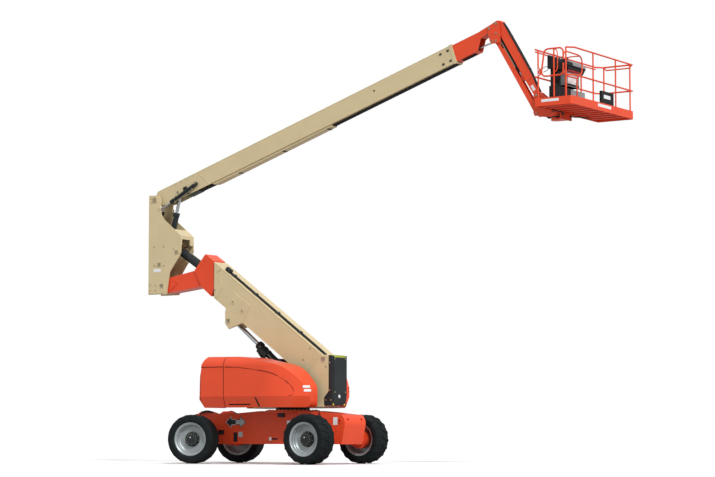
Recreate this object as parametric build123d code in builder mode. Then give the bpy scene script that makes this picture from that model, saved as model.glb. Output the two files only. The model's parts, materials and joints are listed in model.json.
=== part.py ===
from build123d import *
import math
import os

os.makedirs("parts", exist_ok=True)

# Articulating boom lift, millimetres. X points where the main boom reaches, Y to its left, Z up.
# The source measures X from the middle of the wheelbase; each piece is written with the origin on the
# ground under the middle of the whole length.

# ---------------------------------------------------------------- driving dimensions
WHEELBASE = 3050
TRACK = 1980
TYRE_R = 508
TYRE_W = 450
RIM_R = 318
STEER_ANGLE = 17
KINGPIN_OFFSET = 400

SWING_X = 430
DECK_Z = 1165
CHASSIS_TOP = 1100
CHASSIS_BOTTOM = 405
CHASSIS_HALF = 380

TOWER_ANGLE = 36
BOOM_ANGLE = 18.45
JIB_ANGLE = -59.5
TOWER_HALF = 225
BOOM_HALF = 115

TOWER_PIVOT = (1370, 2130)
TOWER_LUG = (-1070, 2980)
TOWER_LIFT_BASE = (940, 1350)
UPRIGHT_PIN = (-2870, 3780)
LEVEL_BASE = (-2480, 4500)
LEVEL_EYE = (-993, 3544)
MAIN_PIVOT = (-3090, 5650)
MASTER_EYE = (-2960, 5450)
MASTER_BASE = (-2020, 5950)
MAIN_LIFT_BASE = (-2950, 4250)
MAIN_LIFT_EYE = (-2550, 5800)
KNUCKLE_PIN = (5230, 8570)
JIB_PIN = (5390, 8655)
SLAVE_EYE = (5290, 8318)
LINK_PIN = (5388, 8310)
JIB_LIFT_BASE = (5390, 8455)
JIB_LENGTH = 1730
ROTATE_X = 6660

PLATFORM_BACK = 6880
PLATFORM_FRONT = 7670
PLATFORM_NEAR = 1235
PLATFORM_FAR = 1305
PLATFORM_BOTTOM = 6740
TOE_TOP = 6897
MID_RAIL = 7300
TOP_RAIL = 7835
TUBE_R = 16

LENGTH_MIDDLE = 2210
PIN_FIT = 0.05
SLIDE_GAP = 6


# ---------------------------------------------------------------- shared helpers
def side_plane(y=0):
    # upright plane facing -Y: local x is X, local y is Z
    return Plane(origin=(0, y, 0), x_dir=(1, 0, 0), z_dir=(0, -1, 0))


def boom_plane(origin, angle, y=0):
    # upright plane facing -Y with its local x turned up by the angle
    a = math.radians(angle)
    return Plane(origin=(origin[0], y, origin[1]), x_dir=(math.cos(a), 0, math.sin(a)), z_dir=(0, -1, 0))


def tower_plane(y=0):
    # local x runs from the tower pivot up the tower boom, local y is its outer side
    a = math.radians(TOWER_ANGLE)
    return Plane(
        origin=(TOWER_PIVOT[0], y, TOWER_PIVOT[1]), x_dir=(-math.cos(a), 0, math.sin(a)), z_dir=(0, 1, 0)
    )


def local(point, plane):
    # X, Z of a point turned into a plane's own coordinates
    p = plane.to_local_coords(Vector(point[0], 0, point[1]))
    return (p.X, p.Y)


def write(part, label):
    placed = part.moved(Location((-LENGTH_MIDDLE, 0, 0)))
    placed.label = label
    export_step(placed, f"parts/{label}.step")


def pin_set(through, stubs):
    # through: point, radius, half width; stubs: point, radius, and the two distances from the middle
    with BuildPart() as pins:
        for point, radius, half in through:
            with BuildSketch(side_plane()):
                with Locations(point):
                    Circle(radius)
            extrude(amount=half, both=True)
        for point, radius, near, far in stubs:
            for side in (-1, 1):
                with BuildSketch(side_plane(side * near)):
                    with Locations(point):
                        Circle(radius)
                extrude(amount=-side * (far - near))
    return pins.part


def barrel_solid(start, end, radius, length, bore, eye_r, eye_half, pin_r, y=0):
    # cylinder tube with its base eye at start, pointing at end, bored for the rod
    angle = math.degrees(math.atan2(end[1] - start[1], end[0] - start[0]))
    plane = boom_plane(start, angle, y)
    with BuildPart() as barrel:
        with BuildSketch(plane):
            Circle(eye_r)
        extrude(amount=eye_half, both=True)
        with BuildSketch(Plane(origin=plane.from_local_coords(Vector(eye_r * 0.6, 0, 0)),
                               z_dir=plane.x_dir)):
            Circle(radius)
        extrude(amount=length - eye_r * 0.6)
        with BuildSketch(Plane(origin=plane.from_local_coords(Vector(length - 60, 0, 0)),
                               z_dir=plane.x_dir)):
            Circle(radius * 1.12)
        extrude(amount=60)
        with BuildSketch(Plane(origin=plane.from_local_coords(Vector(eye_r + 40, 0, 0)),
                               z_dir=plane.x_dir)):
            Circle(bore)
        extrude(amount=length, mode=Mode.SUBTRACT)
        with BuildSketch(plane):
            Circle(pin_r)
        extrude(amount=eye_half * 2, both=True, mode=Mode.SUBTRACT)
    return barrel.part


def rod_solid(start, end, radius, inside, eye_r, eye_half, pin_r, y=0):
    # piston rod with its eye at end, reaching back to the distance inside from start
    angle = math.degrees(math.atan2(end[1] - start[1], end[0] - start[0]))
    span = math.hypot(end[0] - start[0], end[1] - start[1])
    plane = boom_plane(start, angle, y)
    with BuildPart() as rod:
        with BuildSketch(Plane(origin=plane.from_local_coords(Vector(inside, 0, 0)), z_dir=plane.x_dir)):
            Circle(radius)
        extrude(amount=span - inside)
        with BuildSketch(plane):
            with Locations((span, 0)):
                Circle(eye_r)
        extrude(amount=eye_half, both=True)
        with BuildSketch(plane):
            with Locations((span, 0)):
                Circle(pin_r)
        extrude(amount=eye_half * 2, both=True, mode=Mode.SUBTRACT)
    return rod.part


# ---------------------------------------------------------------- chassis
AXLE_Z = TYRE_R
FRAME_T = 16
TRAY_X = 1800
FRAME_REAR = -1900
FRAME_FRONT = 1978
REAR_TOP = 1043
PLATE_R = 560
TIE_HOLE = (1858, 872)
TIE_HOLE_R = 25
TIE_BOSS_R = 46
TIE_BOSS_T = 12
END_HOLE = (245, 900)
END_HOLE_R = 27
END_RING_R = 42
END_RING_FACE = 1972
END_RING_T = 46

with BuildPart() as chassis_frame:
    with BuildSketch(side_plane()):
        with BuildLine():
            Polyline((FRAME_REAR, 985), (FRAME_REAR, 560), (FRAME_REAR + 60, CHASSIS_BOTTOM),
                     (FRAME_FRONT - 77, CHASSIS_BOTTOM), (FRAME_FRONT, 779))
            ThreePointArc((FRAME_FRONT, 779), (FRAME_FRONT - 12, 902), (FRAME_FRONT - 74, 995))
            Polyline((FRAME_FRONT - 74, 995), (1348, 1057), (SWING_X + PLATE_R, 1085),
                     (SWING_X - PLATE_R, 1085),
                     (-706, REAR_TOP), (-1800, REAR_TOP - 8), (FRAME_REAR, 985))
        make_face()
    extrude(amount=CHASSIS_HALF, both=True)
    with BuildSketch(side_plane()):
        with BuildLine():
            Polyline((FRAME_REAR + 20, 560), (FRAME_REAR + 70, CHASSIS_BOTTOM + FRAME_T),
                     (TRAY_X, CHASSIS_BOTTOM + FRAME_T), (TRAY_X, 986), (1348, 1039),
                     (SWING_X + PLATE_R, 1067),
                     (SWING_X - PLATE_R, 1067), (-706, REAR_TOP - 18), (-1800, REAR_TOP - 26),
                     (FRAME_REAR + 20, 970),
                     close=True)
        make_face()
    extrude(amount=CHASSIS_HALF - FRAME_T, both=True, mode=Mode.SUBTRACT)
    with BuildSketch(side_plane()):
        with BuildLine():
            Polyline((TRAY_X + FRAME_T, CHASSIS_BOTTOM + FRAME_T),
                     (FRAME_FRONT - 94, CHASSIS_BOTTOM + FRAME_T),
                     (FRAME_FRONT - 18, 779), (FRAME_FRONT - 30, 905), (FRAME_FRONT - 92, 1000),
                     (FRAME_FRONT - 92, 1100), (TRAY_X + FRAME_T, 1100), close=True)
        make_face()
    extrude(amount=CHASSIS_HALF - FRAME_T, both=True, mode=Mode.SUBTRACT)
    with BuildSketch(Plane.XY.offset(1040)):
        with Locations((SWING_X, 0)):
            Circle(PLATE_R)
    extrude(amount=CHASSIS_TOP - 1040)
    for side in (-1, 1):
        # hump over the steered axle, tie-down boss and the openings through the side plate
        with BuildSketch(side_plane(side * (CHASSIS_HALF - FRAME_T / 2))):
            with BuildLine():
                Polyline((-1765, 1000), (-1743, REAR_TOP), (-1647, 1094), (-1445, 1097), (-1226, REAR_TOP),
                         (-1200, 1000), close=True)
            make_face()
        extrude(amount=FRAME_T / 2, both=True)
        with BuildSketch(side_plane(side * CHASSIS_HALF)):
            with Locations(TIE_HOLE):
                Circle(TIE_BOSS_R)
        extrude(amount=-side * TIE_BOSS_T)
        with BuildSketch(side_plane(side * CHASSIS_HALF)):
            with Locations((-1140, 648)):
                Rectangle(166, 98)
            with Locations((-765, 549)):
                Rectangle(109, 193)
            with Locations((247, 512)):
                SlotOverall(146, 35)
            with Locations(TIE_HOLE):
                Circle(TIE_HOLE_R)
        extrude(amount=FRAME_T + 5, both=True, mode=Mode.SUBTRACT)
    # lashing rings through the end plate
    for radius, start, length, mode in (
        (END_RING_R, END_RING_FACE - END_RING_T, END_RING_T, Mode.ADD),
        (END_HOLE_R, END_RING_FACE - 60, 100, Mode.SUBTRACT),
    ):
        with BuildSketch(Plane.YZ.offset(start)):
            with Locations(END_HOLE, (-END_HOLE[0], END_HOLE[1])):
                Circle(radius)
        extrude(amount=length, mode=mode)
write(chassis_frame.part, "chassis_frame")

with BuildPart() as drive_axle:
    for side in (-1, 1):
        with BuildSketch(side_plane(side * CHASSIS_HALF)):
            with Locations((WHEELBASE / 2, AXLE_Z)):
                RectangleRounded(260, 200, 30)
        extrude(amount=-side * 250)
        # gearbox: radius and the two distances from the middle
        for radius, near, far in ((150, 630, 800), (195, 800, 955)):
            with BuildSketch(side_plane(side * near)):
                with Locations((WHEELBASE / 2, AXLE_Z)):
                    Circle(radius)
            extrude(amount=-side * (far - near))
write(drive_axle.part, "drive_axle")

KINGPIN_Y = TRACK / 2 - KINGPIN_OFFSET
with BuildPart() as steer_axle:
    for side in (-1, 1):
        with BuildSketch(side_plane(side * CHASSIS_HALF)):
            with Locations((-WHEELBASE / 2, AXLE_Z)):
                RectangleRounded(240, 180, 25)
        extrude(amount=-side * (KINGPIN_Y - CHASSIS_HALF - 105))
        for z in (AXLE_Z - 130, AXLE_Z + 90):
            with BuildSketch(Plane.XY.offset(z)):
                with Locations((-WHEELBASE / 2, side * KINGPIN_Y)):
                    Circle(80)
                with Locations((-WHEELBASE / 2, side * (KINGPIN_Y - 80))):
                    Rectangle(160, 160)
            extrude(amount=40)
        with BuildSketch(side_plane(side * (KINGPIN_Y - 105))):
            with Locations((-WHEELBASE / 2, AXLE_Z)):
                Rectangle(200, 260)
        extrude(amount=side * 40)
        with BuildSketch(Plane.XY.offset(AXLE_Z - 140)):
            with Locations((-WHEELBASE / 2, side * KINGPIN_Y)):
                Circle(35)
        extrude(amount=280)
write(steer_axle.part, "steer_axle")


# ---------------------------------------------------------------- wheels
BAR_ROOT_R = 430
BAR_TIP_R = TYRE_R - 3.5
BAR_COUNT = 18
CARCASS_SIDES = 36


def wheel_frame(fore, side):
    # centre of the wheel and the yaw that its steering gives it
    yaw = 0 if fore > 0 else STEER_ANGLE
    a = math.radians(yaw)
    reach = KINGPIN_OFFSET if fore < 0 else 0
    y0 = side * (TRACK / 2 - reach)
    x = fore * WHEELBASE / 2 - math.sin(a) * side * reach
    y = y0 + math.cos(a) * side * reach
    axle = (-math.sin(a) * side, math.cos(a) * side, 0)
    return (x, y, TYRE_R), axle


def axle_plane(offset):
    # plane square to a wheel's axle while the wheel lies on the origin
    return Plane(origin=(0, offset, 0), x_dir=(0, 0, 1), z_dir=(0, 1, 0))


def tread_bar(side):
    # half a chevron bar, standing on the top of the carcass
    half = TYRE_W / 2
    with BuildPart() as bar:
        with BuildSketch(Plane(origin=(0, 0, BAR_ROOT_R), x_dir=(0, side, 0), z_dir=(0, 0, 1))):
            with BuildLine():
                Polyline((-6, -52), (half, 2), (half, 58), (-6, -8), close=True)
            make_face()
        extrude(amount=TYRE_R - BAR_ROOT_R)
        with BuildSketch(Plane(origin=(0, 0, 0), x_dir=(0, side, 0), z_dir=(side, 0, 0))):
            with BuildLine():
                Polyline((-10, 440), (half - 12, 440), (half, 452), (half - 22, 494),
                         (half - 62, BAR_TIP_R),
                         (-10, BAR_TIP_R), close=True)
            make_face()
        extrude(amount=100, both=True, mode=Mode.INTERSECT)
    return bar.part


def tyre_solid(barred):
    # faceted carcass with the bars on its flats, or rolled out to the bars' height
    half = TYRE_W / 2
    crown = 480 if barred else TYRE_R
    shoulder = 420 if barred else 450
    with BuildPart() as tyre:
        for y, radius in ((-205, 356), (6 - half, shoulder), (40 - half, crown), (half - 40, crown),
                          (half - 6, shoulder), (205, 356)):
            with BuildSketch(axle_plane(y)):
                RegularPolygon(radius, CARCASS_SIDES)
        loft(ruled=True)
        if barred:
            for side, start in ((-1, 0), (1, 180 / BAR_COUNT)):
                with Locations(Plane.XZ):
                    with PolarLocations(0, BAR_COUNT, start_angle=start):
                        add(tread_bar(side), rotation=(90, 0, 0))
        for y, radius in ((half, RIM_R), (-half, RIM_R)):
            with BuildSketch(axle_plane(0)):
                Circle(radius)
            extrude(amount=y, mode=Mode.SUBTRACT)
        for side in (-1, 1):
            with BuildSketch(axle_plane(side * 167)):
                Circle(350)
            extrude(amount=side * 80, mode=Mode.SUBTRACT)
    return tyre.part


def rim_solid(side):
    # deep dish, open to the outside: offset from the wheel's middle, radius
    with BuildPart() as rim:
        with BuildSketch(Plane.YZ):
            with BuildLine():
                Polyline((-190, 345), (-182, 345), (-170, RIM_R), (170, RIM_R), (182, 345), (190, 345),
                         (190, 331),
                         (178, 316), (172, 303), (118, 303), (108, 292), (66, 288), (44, 262), (44, 110),
                         (28, 110),
                         (28, 272), (0, 303), (-172, 303), (-190, 331), close=True)
            make_face()
        revolve(axis=Axis.Y)
    return rim.part if side > 0 else rim.part.mirror(Plane.XZ)


def hub_solid(side):
    # hub with a notched flange and a domed cap
    with BuildPart() as hub:
        with BuildSketch(Plane.YZ):
            with BuildLine():
                Polyline((-30, 0), (-30, 108), (44, 108), (44, 156), (70, 156), (84, 140), (118, 128),
                         (130, 60),
                         (130, 0), close=True)
            make_face()
        revolve(axis=Axis.Y)
        with BuildSketch(axle_plane(45)):
            with PolarLocations(160, 9):
                Circle(19)
        extrude(amount=80, mode=Mode.SUBTRACT)
    return hub.part if side > 0 else hub.part.mirror(Plane.XZ)


def wheel_place(fore, side):
    # from a wheel about the Y axis at the origin to its place on the axle
    yaw = STEER_ANGLE if fore < 0 else 0
    return Location(wheel_frame(fore, side)[0], (0, 0, yaw))


for fore, fore_name in ((1, "front"), (-1, "rear")):
    for side, side_name in ((1, "left"), (-1, "right")):
        place = wheel_place(fore, side)
        write(tyre_solid(fore > 0).moved(place), f"tyre_{fore_name}_{side_name}")
        write(rim_solid(side).moved(place), f"rim_{fore_name}_{side_name}")
        write(hub_solid(side).moved(place), f"hub_{fore_name}_{side_name}")

for side, side_name in ((1, "left"), (-1, "right")):
    axle = wheel_frame(-1, side)[1]
    kingpin = (-WHEELBASE / 2, side * KINGPIN_Y, TYRE_R)
    with BuildPart() as knuckle:
        with BuildSketch(Plane.XY.offset(AXLE_Z - 89)):
            with Locations((-WHEELBASE / 2, side * KINGPIN_Y)):
                Circle(75)
        extrude(amount=178)
        with BuildSketch(Plane(origin=kingpin, z_dir=axle)):
            Circle(70)
        extrude(amount=KINGPIN_OFFSET - 210)
        with BuildSketch(Plane(origin=kingpin, z_dir=axle).offset(KINGPIN_OFFSET - 210)):
            Circle(150)
        extrude(amount=100)
        with BuildSketch(Plane(origin=kingpin, z_dir=axle).offset(KINGPIN_OFFSET - 110)):
            Circle(60)
        extrude(amount=79)
        with BuildSketch(Plane.XY.offset(AXLE_Z - 100)):
            with Locations((-WHEELBASE / 2, side * KINGPIN_Y)):
                Circle(35 + PIN_FIT)
        extrude(amount=200, mode=Mode.SUBTRACT)
    write(knuckle.part, f"steer_knuckle_{side_name}")

# ---------------------------------------------------------------- turntable
RING_R = 350
DECK_T = 25
PLATE_T = 25
PLATE_Y = TOWER_HALF + 8

with BuildPart() as swing_bearing:
    with BuildSketch(Plane.XY.offset(CHASSIS_TOP)):
        with Locations((SWING_X, 0)):
            Circle(RING_R)
    extrude(amount=DECK_Z - CHASSIS_TOP - 1)
    with BuildSketch(Plane.XY.offset(CHASSIS_TOP)):
        with Locations((SWING_X, 0)):
            Circle(RING_R - 110)
    extrude(amount=DECK_Z - CHASSIS_TOP, mode=Mode.SUBTRACT)
    # valve box below the plate, on the right-hand side
    with BuildSketch(side_plane(-CHASSIS_HALF - 1)):
        with Locations((417, 997)):
            Rectangle(150, 80)
    extrude(amount=38)
write(swing_bearing.part, "swing_bearing")

with BuildPart() as turntable_frame:
    with BuildSketch(Plane.XY.offset(DECK_Z)):
        with BuildLine():
            Polyline((-900, -1050), (SWING_X, -1050))
            ThreePointArc((SWING_X, -1050), (817, -976), (1150, -764))
            Polyline((1150, -764), (1190, -600), (1190, -290), (1385, -290), (1385, 290), (1190, 290),
                     (1190, 600), (1150, 764))
            ThreePointArc((1150, 764), (817, 976), (SWING_X, 1050))
            Polyline((SWING_X, 1050), (-900, 1050), (-900, 400), (-300, 320), (-300, -320), (-900, -400),
                     (-900, -1050))
        make_face()
        with Locations((SWING_X, 0)):
            Circle(RING_R - 110, mode=Mode.SUBTRACT)
    extrude(amount=DECK_T)
    for side in (-1, 1):
        with BuildSketch(side_plane(side * (PLATE_Y + PLATE_T / 2))):
            with BuildLine():
                Polyline(
                    (1500, 2205), (1500, 1480), (1390, 1350), (1390, DECK_Z), (-280, DECK_Z), (-280, 1250),
                    (700, 1500), (1180, 2060), (1290, 2205), close=True,
                )
            make_face()
            with Locations(TOWER_PIVOT):
                Circle(45, mode=Mode.SUBTRACT)
            with Locations(TOWER_LIFT_BASE):
                Circle(40, mode=Mode.SUBTRACT)
        extrude(amount=PLATE_T / 2, both=True)
write(turntable_frame.part, "turntable_frame")

PIN_END = PLATE_Y + PLATE_T + 12
write(pin_set([(TOWER_PIVOT, 45, PIN_END), (TOWER_LIFT_BASE, 40, PIN_END)], []), "turntable_pins")

with BuildPart() as counterweight:
    with BuildSketch(side_plane()):
        with BuildLine():
            Polyline((1500, 2215), (1600, 2200), (1600, 1400), (1570, 1195), (1391, 1165 + DECK_T),
                     (1391, 1350), (1501, 1480), close=True)
        make_face()
    extrude(amount=PLATE_Y + PLATE_T, both=True)
    for side in (-1, 1):
        with BuildSketch(Plane.XY.offset(DECK_Z + DECK_T)):
            with BuildLine():
                Polyline((940, side * 400), (940, side * 930), (1090, side * 840), (1180, side * 720),
                         (1180, side * 400), close=True)
            make_face()
        extrude(amount=480)
write(counterweight.part, "counterweight")

HOOD_OUT = 1170
HOOD_IN = 380
HOOD_BOTTOM = 1150
SEAM_X = -500
BAY_WALL_Y = 388.5
HINGE_Z = 2186
HINGE_R = 9
HOOD_T = 14
HOOD_TOP = 2200
CREASE_Z = 1980
RIDGE_Z = 1380
SKIRT_IN = 85
PANEL_SUNK = 7
TAIL_TIP_X = 1463
TAIL_TIP_Y = 560
# top of the cover falling to its nose: x, z, and the share of the wall taken off each
NOSE = [
    (-250, 2190, 0, 1), (57, 2168, 0, 1), (430, 2092, 0.1, 1), (726, 2037, 0.3, 0.95),
    (984, 1926, 0.5, 0.8),
    (1167, 1757, 0.75, 0.6), (1295, 1591, 0.9, 0.4), (1352, 1400, 1, 0),
]
# under the nose: height where it starts, radius and turn
NOSE_LOW = 1290
NOSE_R = 145
NOSE_TURN = 74.9
# shoulder between the side and the top: width, and how far its middle is in and down
ROLL = 170
ROLL_MIDDLE = (47, 81)


def hood_outline(shrink):
    # side outline of the whole cover, moved inward by shrink
    bottom = HOOD_BOTTOM - shrink * 0.4
    with BuildLine() as outline:
        Polyline((-1030 + shrink, bottom), (-1150 + shrink, 1370), (-1130 + shrink, 1620),
                 (-1060 + shrink, 2030), (-990 + shrink, 2200 - shrink))
        Line((-990 + shrink, 2200 - shrink), (-250, 2190 - shrink))
        Spline(*[(x - shrink * across, z - shrink * down) for x, z, across, down in NOSE],
               tangents=((1, -0.02), (0.05, -1)))
        Line((NOSE[-1][0] - shrink, NOSE[-1][1]), (NOSE[-1][0] - shrink, NOSE_LOW))
        under = CenterArc((NOSE[-1][0] - NOSE_R, NOSE_LOW), NOSE_R - shrink, 0, -NOSE_TURN)
        Polyline(under @ 1, ((under @ 1).X - 6, bottom), (-1030 + shrink, bottom))
    return outline.wires()[0]


def hood_section(side, shrink, inner):
    # cross-section of a cover: flat side, shoulder rolled in above it, skirt drawn in below it
    outer = HOOD_OUT - shrink
    top = HOOD_TOP - shrink
    Line((side * inner, top), (side * (outer - ROLL), top))
    ThreePointArc((side * (outer - ROLL), top), (side * (outer - ROLL_MIDDLE[0]), top - ROLL_MIDDLE[1]),
                  (side * outer, CREASE_Z))
    Polyline((side * outer, CREASE_Z), (side * outer, RIDGE_Z), (side * (outer - SKIRT_IN),
                                                                 HOOD_BOTTOM - 5),
             (side * inner, HOOD_BOTTOM - 5), (side * inner, top))


def hood_form(side, shrink, inner):
    # straight along the side, then turned about the swing axis so that the tail stays inside one circle
    with BuildPart() as form:
        with BuildSketch(Plane.YZ.offset(-1160)):
            with BuildLine():
                hood_section(side, shrink, inner)
            make_face()
        extrude(amount=SWING_X + 1160)
        with BuildSketch(Plane.YZ.offset(SWING_X)):
            with BuildLine():
                hood_section(side, shrink, inner)
            make_face()
        revolve(axis=Axis((SWING_X, 0, 0), (0, 0, side)), revolution_arc=-90)
        with BuildSketch(side_plane(side * (inner - 1))):
            make_face(hood_outline(shrink))
        extrude(amount=-side * (HOOD_OUT + 10 - inner), mode=Mode.INTERSECT)
        with BuildSketch(Plane.XY.offset(HOOD_BOTTOM - 10)):
            with BuildLine():
                corner = HOOD_OUT - 70
                back = shrink - 1165
                Polyline((back, side * inner), (back, side * corner), (back + 80, side * (HOOD_OUT + 10)),
                         (1600, side * (HOOD_OUT + 10)), (1600, side * (720 - shrink)),
                         (TAIL_TIP_X - shrink, side * (TAIL_TIP_Y - shrink * 0.5)), (1300, side * inner),
                         close=True)
            make_face()
        extrude(amount=1200, mode=Mode.INTERSECT)
    return form.part


def hood_panel(side):
    # outline of the sunk side panel, between the crease and the ridge, seen from the side
    with BuildPart() as panel:
        with BuildSketch(side_plane(side * (HOOD_OUT - 420))):
            with BuildLine():
                Polyline((-1300, RIDGE_Z + 2), (-1300, CREASE_Z - 2), (-310, CREASE_Z - 2))
                Spline((-310, CREASE_Z - 2), (337, 1913), (622, 1863), (808, 1795), (1027, 1637),
                       (1122, 1475),
                       (1098, 1400), (1050, RIDGE_Z + 2), tangents=((1, 0), (-1, -0.2)))
                Line((1050, RIDGE_Z + 2), (-1300, RIDGE_Z + 2))
            make_face()
        extrude(amount=-side * 450)
    return panel.part


for side, side_name in ((-1, "engine"), (1, "tank")):
    with BuildPart() as panel:
        add(hood_panel(side))
        add(hood_form(side, PANEL_SUNK, HOOD_IN - 20), mode=Mode.SUBTRACT)
    with BuildPart() as cover:
        add(hood_form(side, 0, HOOD_IN))
        add(panel.part, mode=Mode.SUBTRACT)
        add(hood_form(side, HOOD_T, HOOD_IN - 20), mode=Mode.SUBTRACT)
        with BuildSketch(side_plane(side * (HOOD_OUT - 130))):
            with Locations((-120, 1212)):
                SlotOverall(560, 26)
        extrude(amount=-side * 160, mode=Mode.SUBTRACT)
    with BuildPart() as end_cover:
        add(cover.part)
        split(bisect_by=Plane.YZ.offset(SEAM_X - 3), keep=Keep.BOTTOM)
    write(end_cover.part, f"{side_name}_end_cover")
    with BuildPart() as hood:
        add(cover.part)
        split(bisect_by=Plane.YZ.offset(SEAM_X + 3), keep=Keep.TOP)
        for x in (-440, -300):
            with BuildSketch(Plane.YZ.offset(x)):
                with Locations((side * HOOD_IN, HINGE_Z)):
                    Circle(HINGE_R)
            extrude(amount=90)
    write(hood.part, f"{side_name}_hood")

with BuildPart() as bay_walls:
    for side in (-1, 1):
        with BuildSketch(side_plane(side * BAY_WALL_Y)):
            make_face(hood_outline(HOOD_T + 8))
            with Locations((0, DECK_Z)):
                Rectangle(3200, 2 * DECK_T, mode=Mode.SUBTRACT)
            with Locations((1290 + 150, 1700)):
                Rectangle(300, 1400, mode=Mode.SUBTRACT)
        extrude(amount=2.5, both=True)
write(bay_walls.part, "bay_walls")

with BuildPart() as engine_block:
    with BuildSketch(Plane.XY.offset(DECK_Z + DECK_T)):
        with Locations((280, -760)):
            Rectangle(1000, 500)
    extrude(amount=560)
    fillet(engine_block.edges().filter_by(Axis.Z), 40)
write(engine_block.part, "engine_block")

with BuildPart() as tank_block:
    with BuildSketch(Plane.XY.offset(DECK_Z + DECK_T)):
        with Locations((280, 760)):
            Rectangle(1000, 480)
    extrude(amount=560)
    fillet(tank_block.edges().filter_by(Axis.Z), 60)
write(tank_block.part, "tank_block")

# ---------------------------------------------------------------- tower boom
TOWER_TOP = 45
TOWER_LOW = -575
LUG_SIDE = [(2752, -178), (2198, -176), (2148, -562), (2370, -880), (2510, -845), (2665, -640)]
LUG_PLATE_T = 10
TOWER_WALL = 10
FLY_GAP = 8
FLY_TOP = TOWER_TOP - TOWER_WALL - FLY_GAP
FLY_LOW = -505
FLY_HALF = TOWER_HALF - TOWER_WALL - FLY_GAP
tower = tower_plane()
lug = local(TOWER_LUG, tower)

with BuildPart() as tower_base:
    with BuildSketch(tower):
        with BuildLine():
            Polyline((0, TOWER_TOP), (3530, TOWER_TOP), (3080, TOWER_LOW), (150, TOWER_LOW), (-45, -150),
                     (-45, 0),
                     close=True)
        make_face()
    extrude(amount=TOWER_HALF, both=True)
    with BuildSketch(tower):
        with BuildLine():
            Polyline((260, TOWER_TOP - TOWER_WALL), (4000, TOWER_TOP - TOWER_WALL),
                     (4000, TOWER_LOW + TOWER_WALL),
                     (260, TOWER_LOW + TOWER_WALL), close=True)
        make_face()
    extrude(amount=TOWER_HALF - TOWER_WALL, both=True, mode=Mode.SUBTRACT)
    for side in (-1, 1):
        with BuildSketch(tower_plane(side * (TOWER_HALF - 15))):
            with BuildLine():
                Polyline((2700, TOWER_LOW + 5), (2665, -640), (2510, -845), (2370, -880),
                         (2137, TOWER_LOW + 5),
                         close=True)
            make_face()
        extrude(amount=15, both=True)
        # lug plate welded to the side, with two bosses
        with BuildSketch(tower_plane(side * TOWER_HALF)):
            with BuildLine():
                Polyline(*LUG_SIDE, close=True)
            make_face()
        extrude(amount=side * LUG_PLATE_T)
        with BuildSketch(tower_plane(side * (TOWER_HALF + LUG_PLATE_T))):
            with Locations((2612, -355), (2305, -367)):
                Circle(57)
        extrude(amount=side * 8)
        # stiffener at the open end, with a long rounded window
        with BuildSketch(side_plane(side * TOWER_HALF)):
            with BuildLine():
                Polyline((-1269, 4056), (-1243, 3690), (-1400, 3470), (-1452, 3492), (-1452, 4192),
                         close=True)
            make_face()
            with Locations((-1382, 3888)):
                RectangleRounded(62, 292, 28, mode=Mode.SUBTRACT)
        extrude(amount=-side * 8)
    with BuildSketch(tower):
        Circle(45 + PIN_FIT)
    extrude(amount=TOWER_HALF + 20, both=True, mode=Mode.SUBTRACT)
    with BuildSketch(tower):
        with Locations(lug):
            Circle(38)
    extrude(amount=TOWER_HALF + 20, both=True, mode=Mode.SUBTRACT)
    # slot in the underside that the lift cylinder sinks into
    with BuildSketch(tower):
        with BuildLine():
            Polyline((60, TOWER_LOW - 90), (60, TOWER_LOW + 55), (2760, TOWER_LOW + 55),
                     (2760, TOWER_LOW - 90),
                     close=True)
        make_face()
    extrude(amount=92, both=True, mode=Mode.SUBTRACT)
write(tower_base.part, "tower_base")
write(pin_set([], [(TOWER_LUG, 38, 66, TOWER_HALF + LUG_PLATE_T + 8)]), "tower_lug_pins")

# path of the levelling cylinder through the head and the inner boom
LEVEL_PATH = [(-2250, 4230), (-2250, 4070), (-2190, 4036), (-1240, 3393), (-1100, 3500), (-1100, 4230)]
LEVEL_PATH_HALF = 107


def level_path():
    with BuildPart() as path:
        with BuildSketch(side_plane()):
            with BuildLine():
                Polyline(*LEVEL_PATH, close=True)
            make_face()
        extrude(amount=LEVEL_PATH_HALF, both=True)
    return path.part


with BuildPart() as tower_fly:
    with BuildSketch(tower):
        with BuildLine():
            Polyline((900, FLY_TOP), (3542, FLY_TOP), (3155, FLY_LOW), (900, FLY_LOW), close=True)
        make_face()
    extrude(amount=FLY_HALF, both=True)
    with BuildSketch(tower):
        with BuildLine():
            Polyline((800, FLY_TOP - 10), (4200, FLY_TOP - 10), (4200, FLY_LOW + 10), (800, FLY_LOW + 10),
                     close=True)
        make_face()
    extrude(amount=FLY_HALF - 10, both=True, mode=Mode.SUBTRACT)
    add(level_path(), mode=Mode.SUBTRACT)
write(tower_fly.part, "tower_fly")

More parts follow.
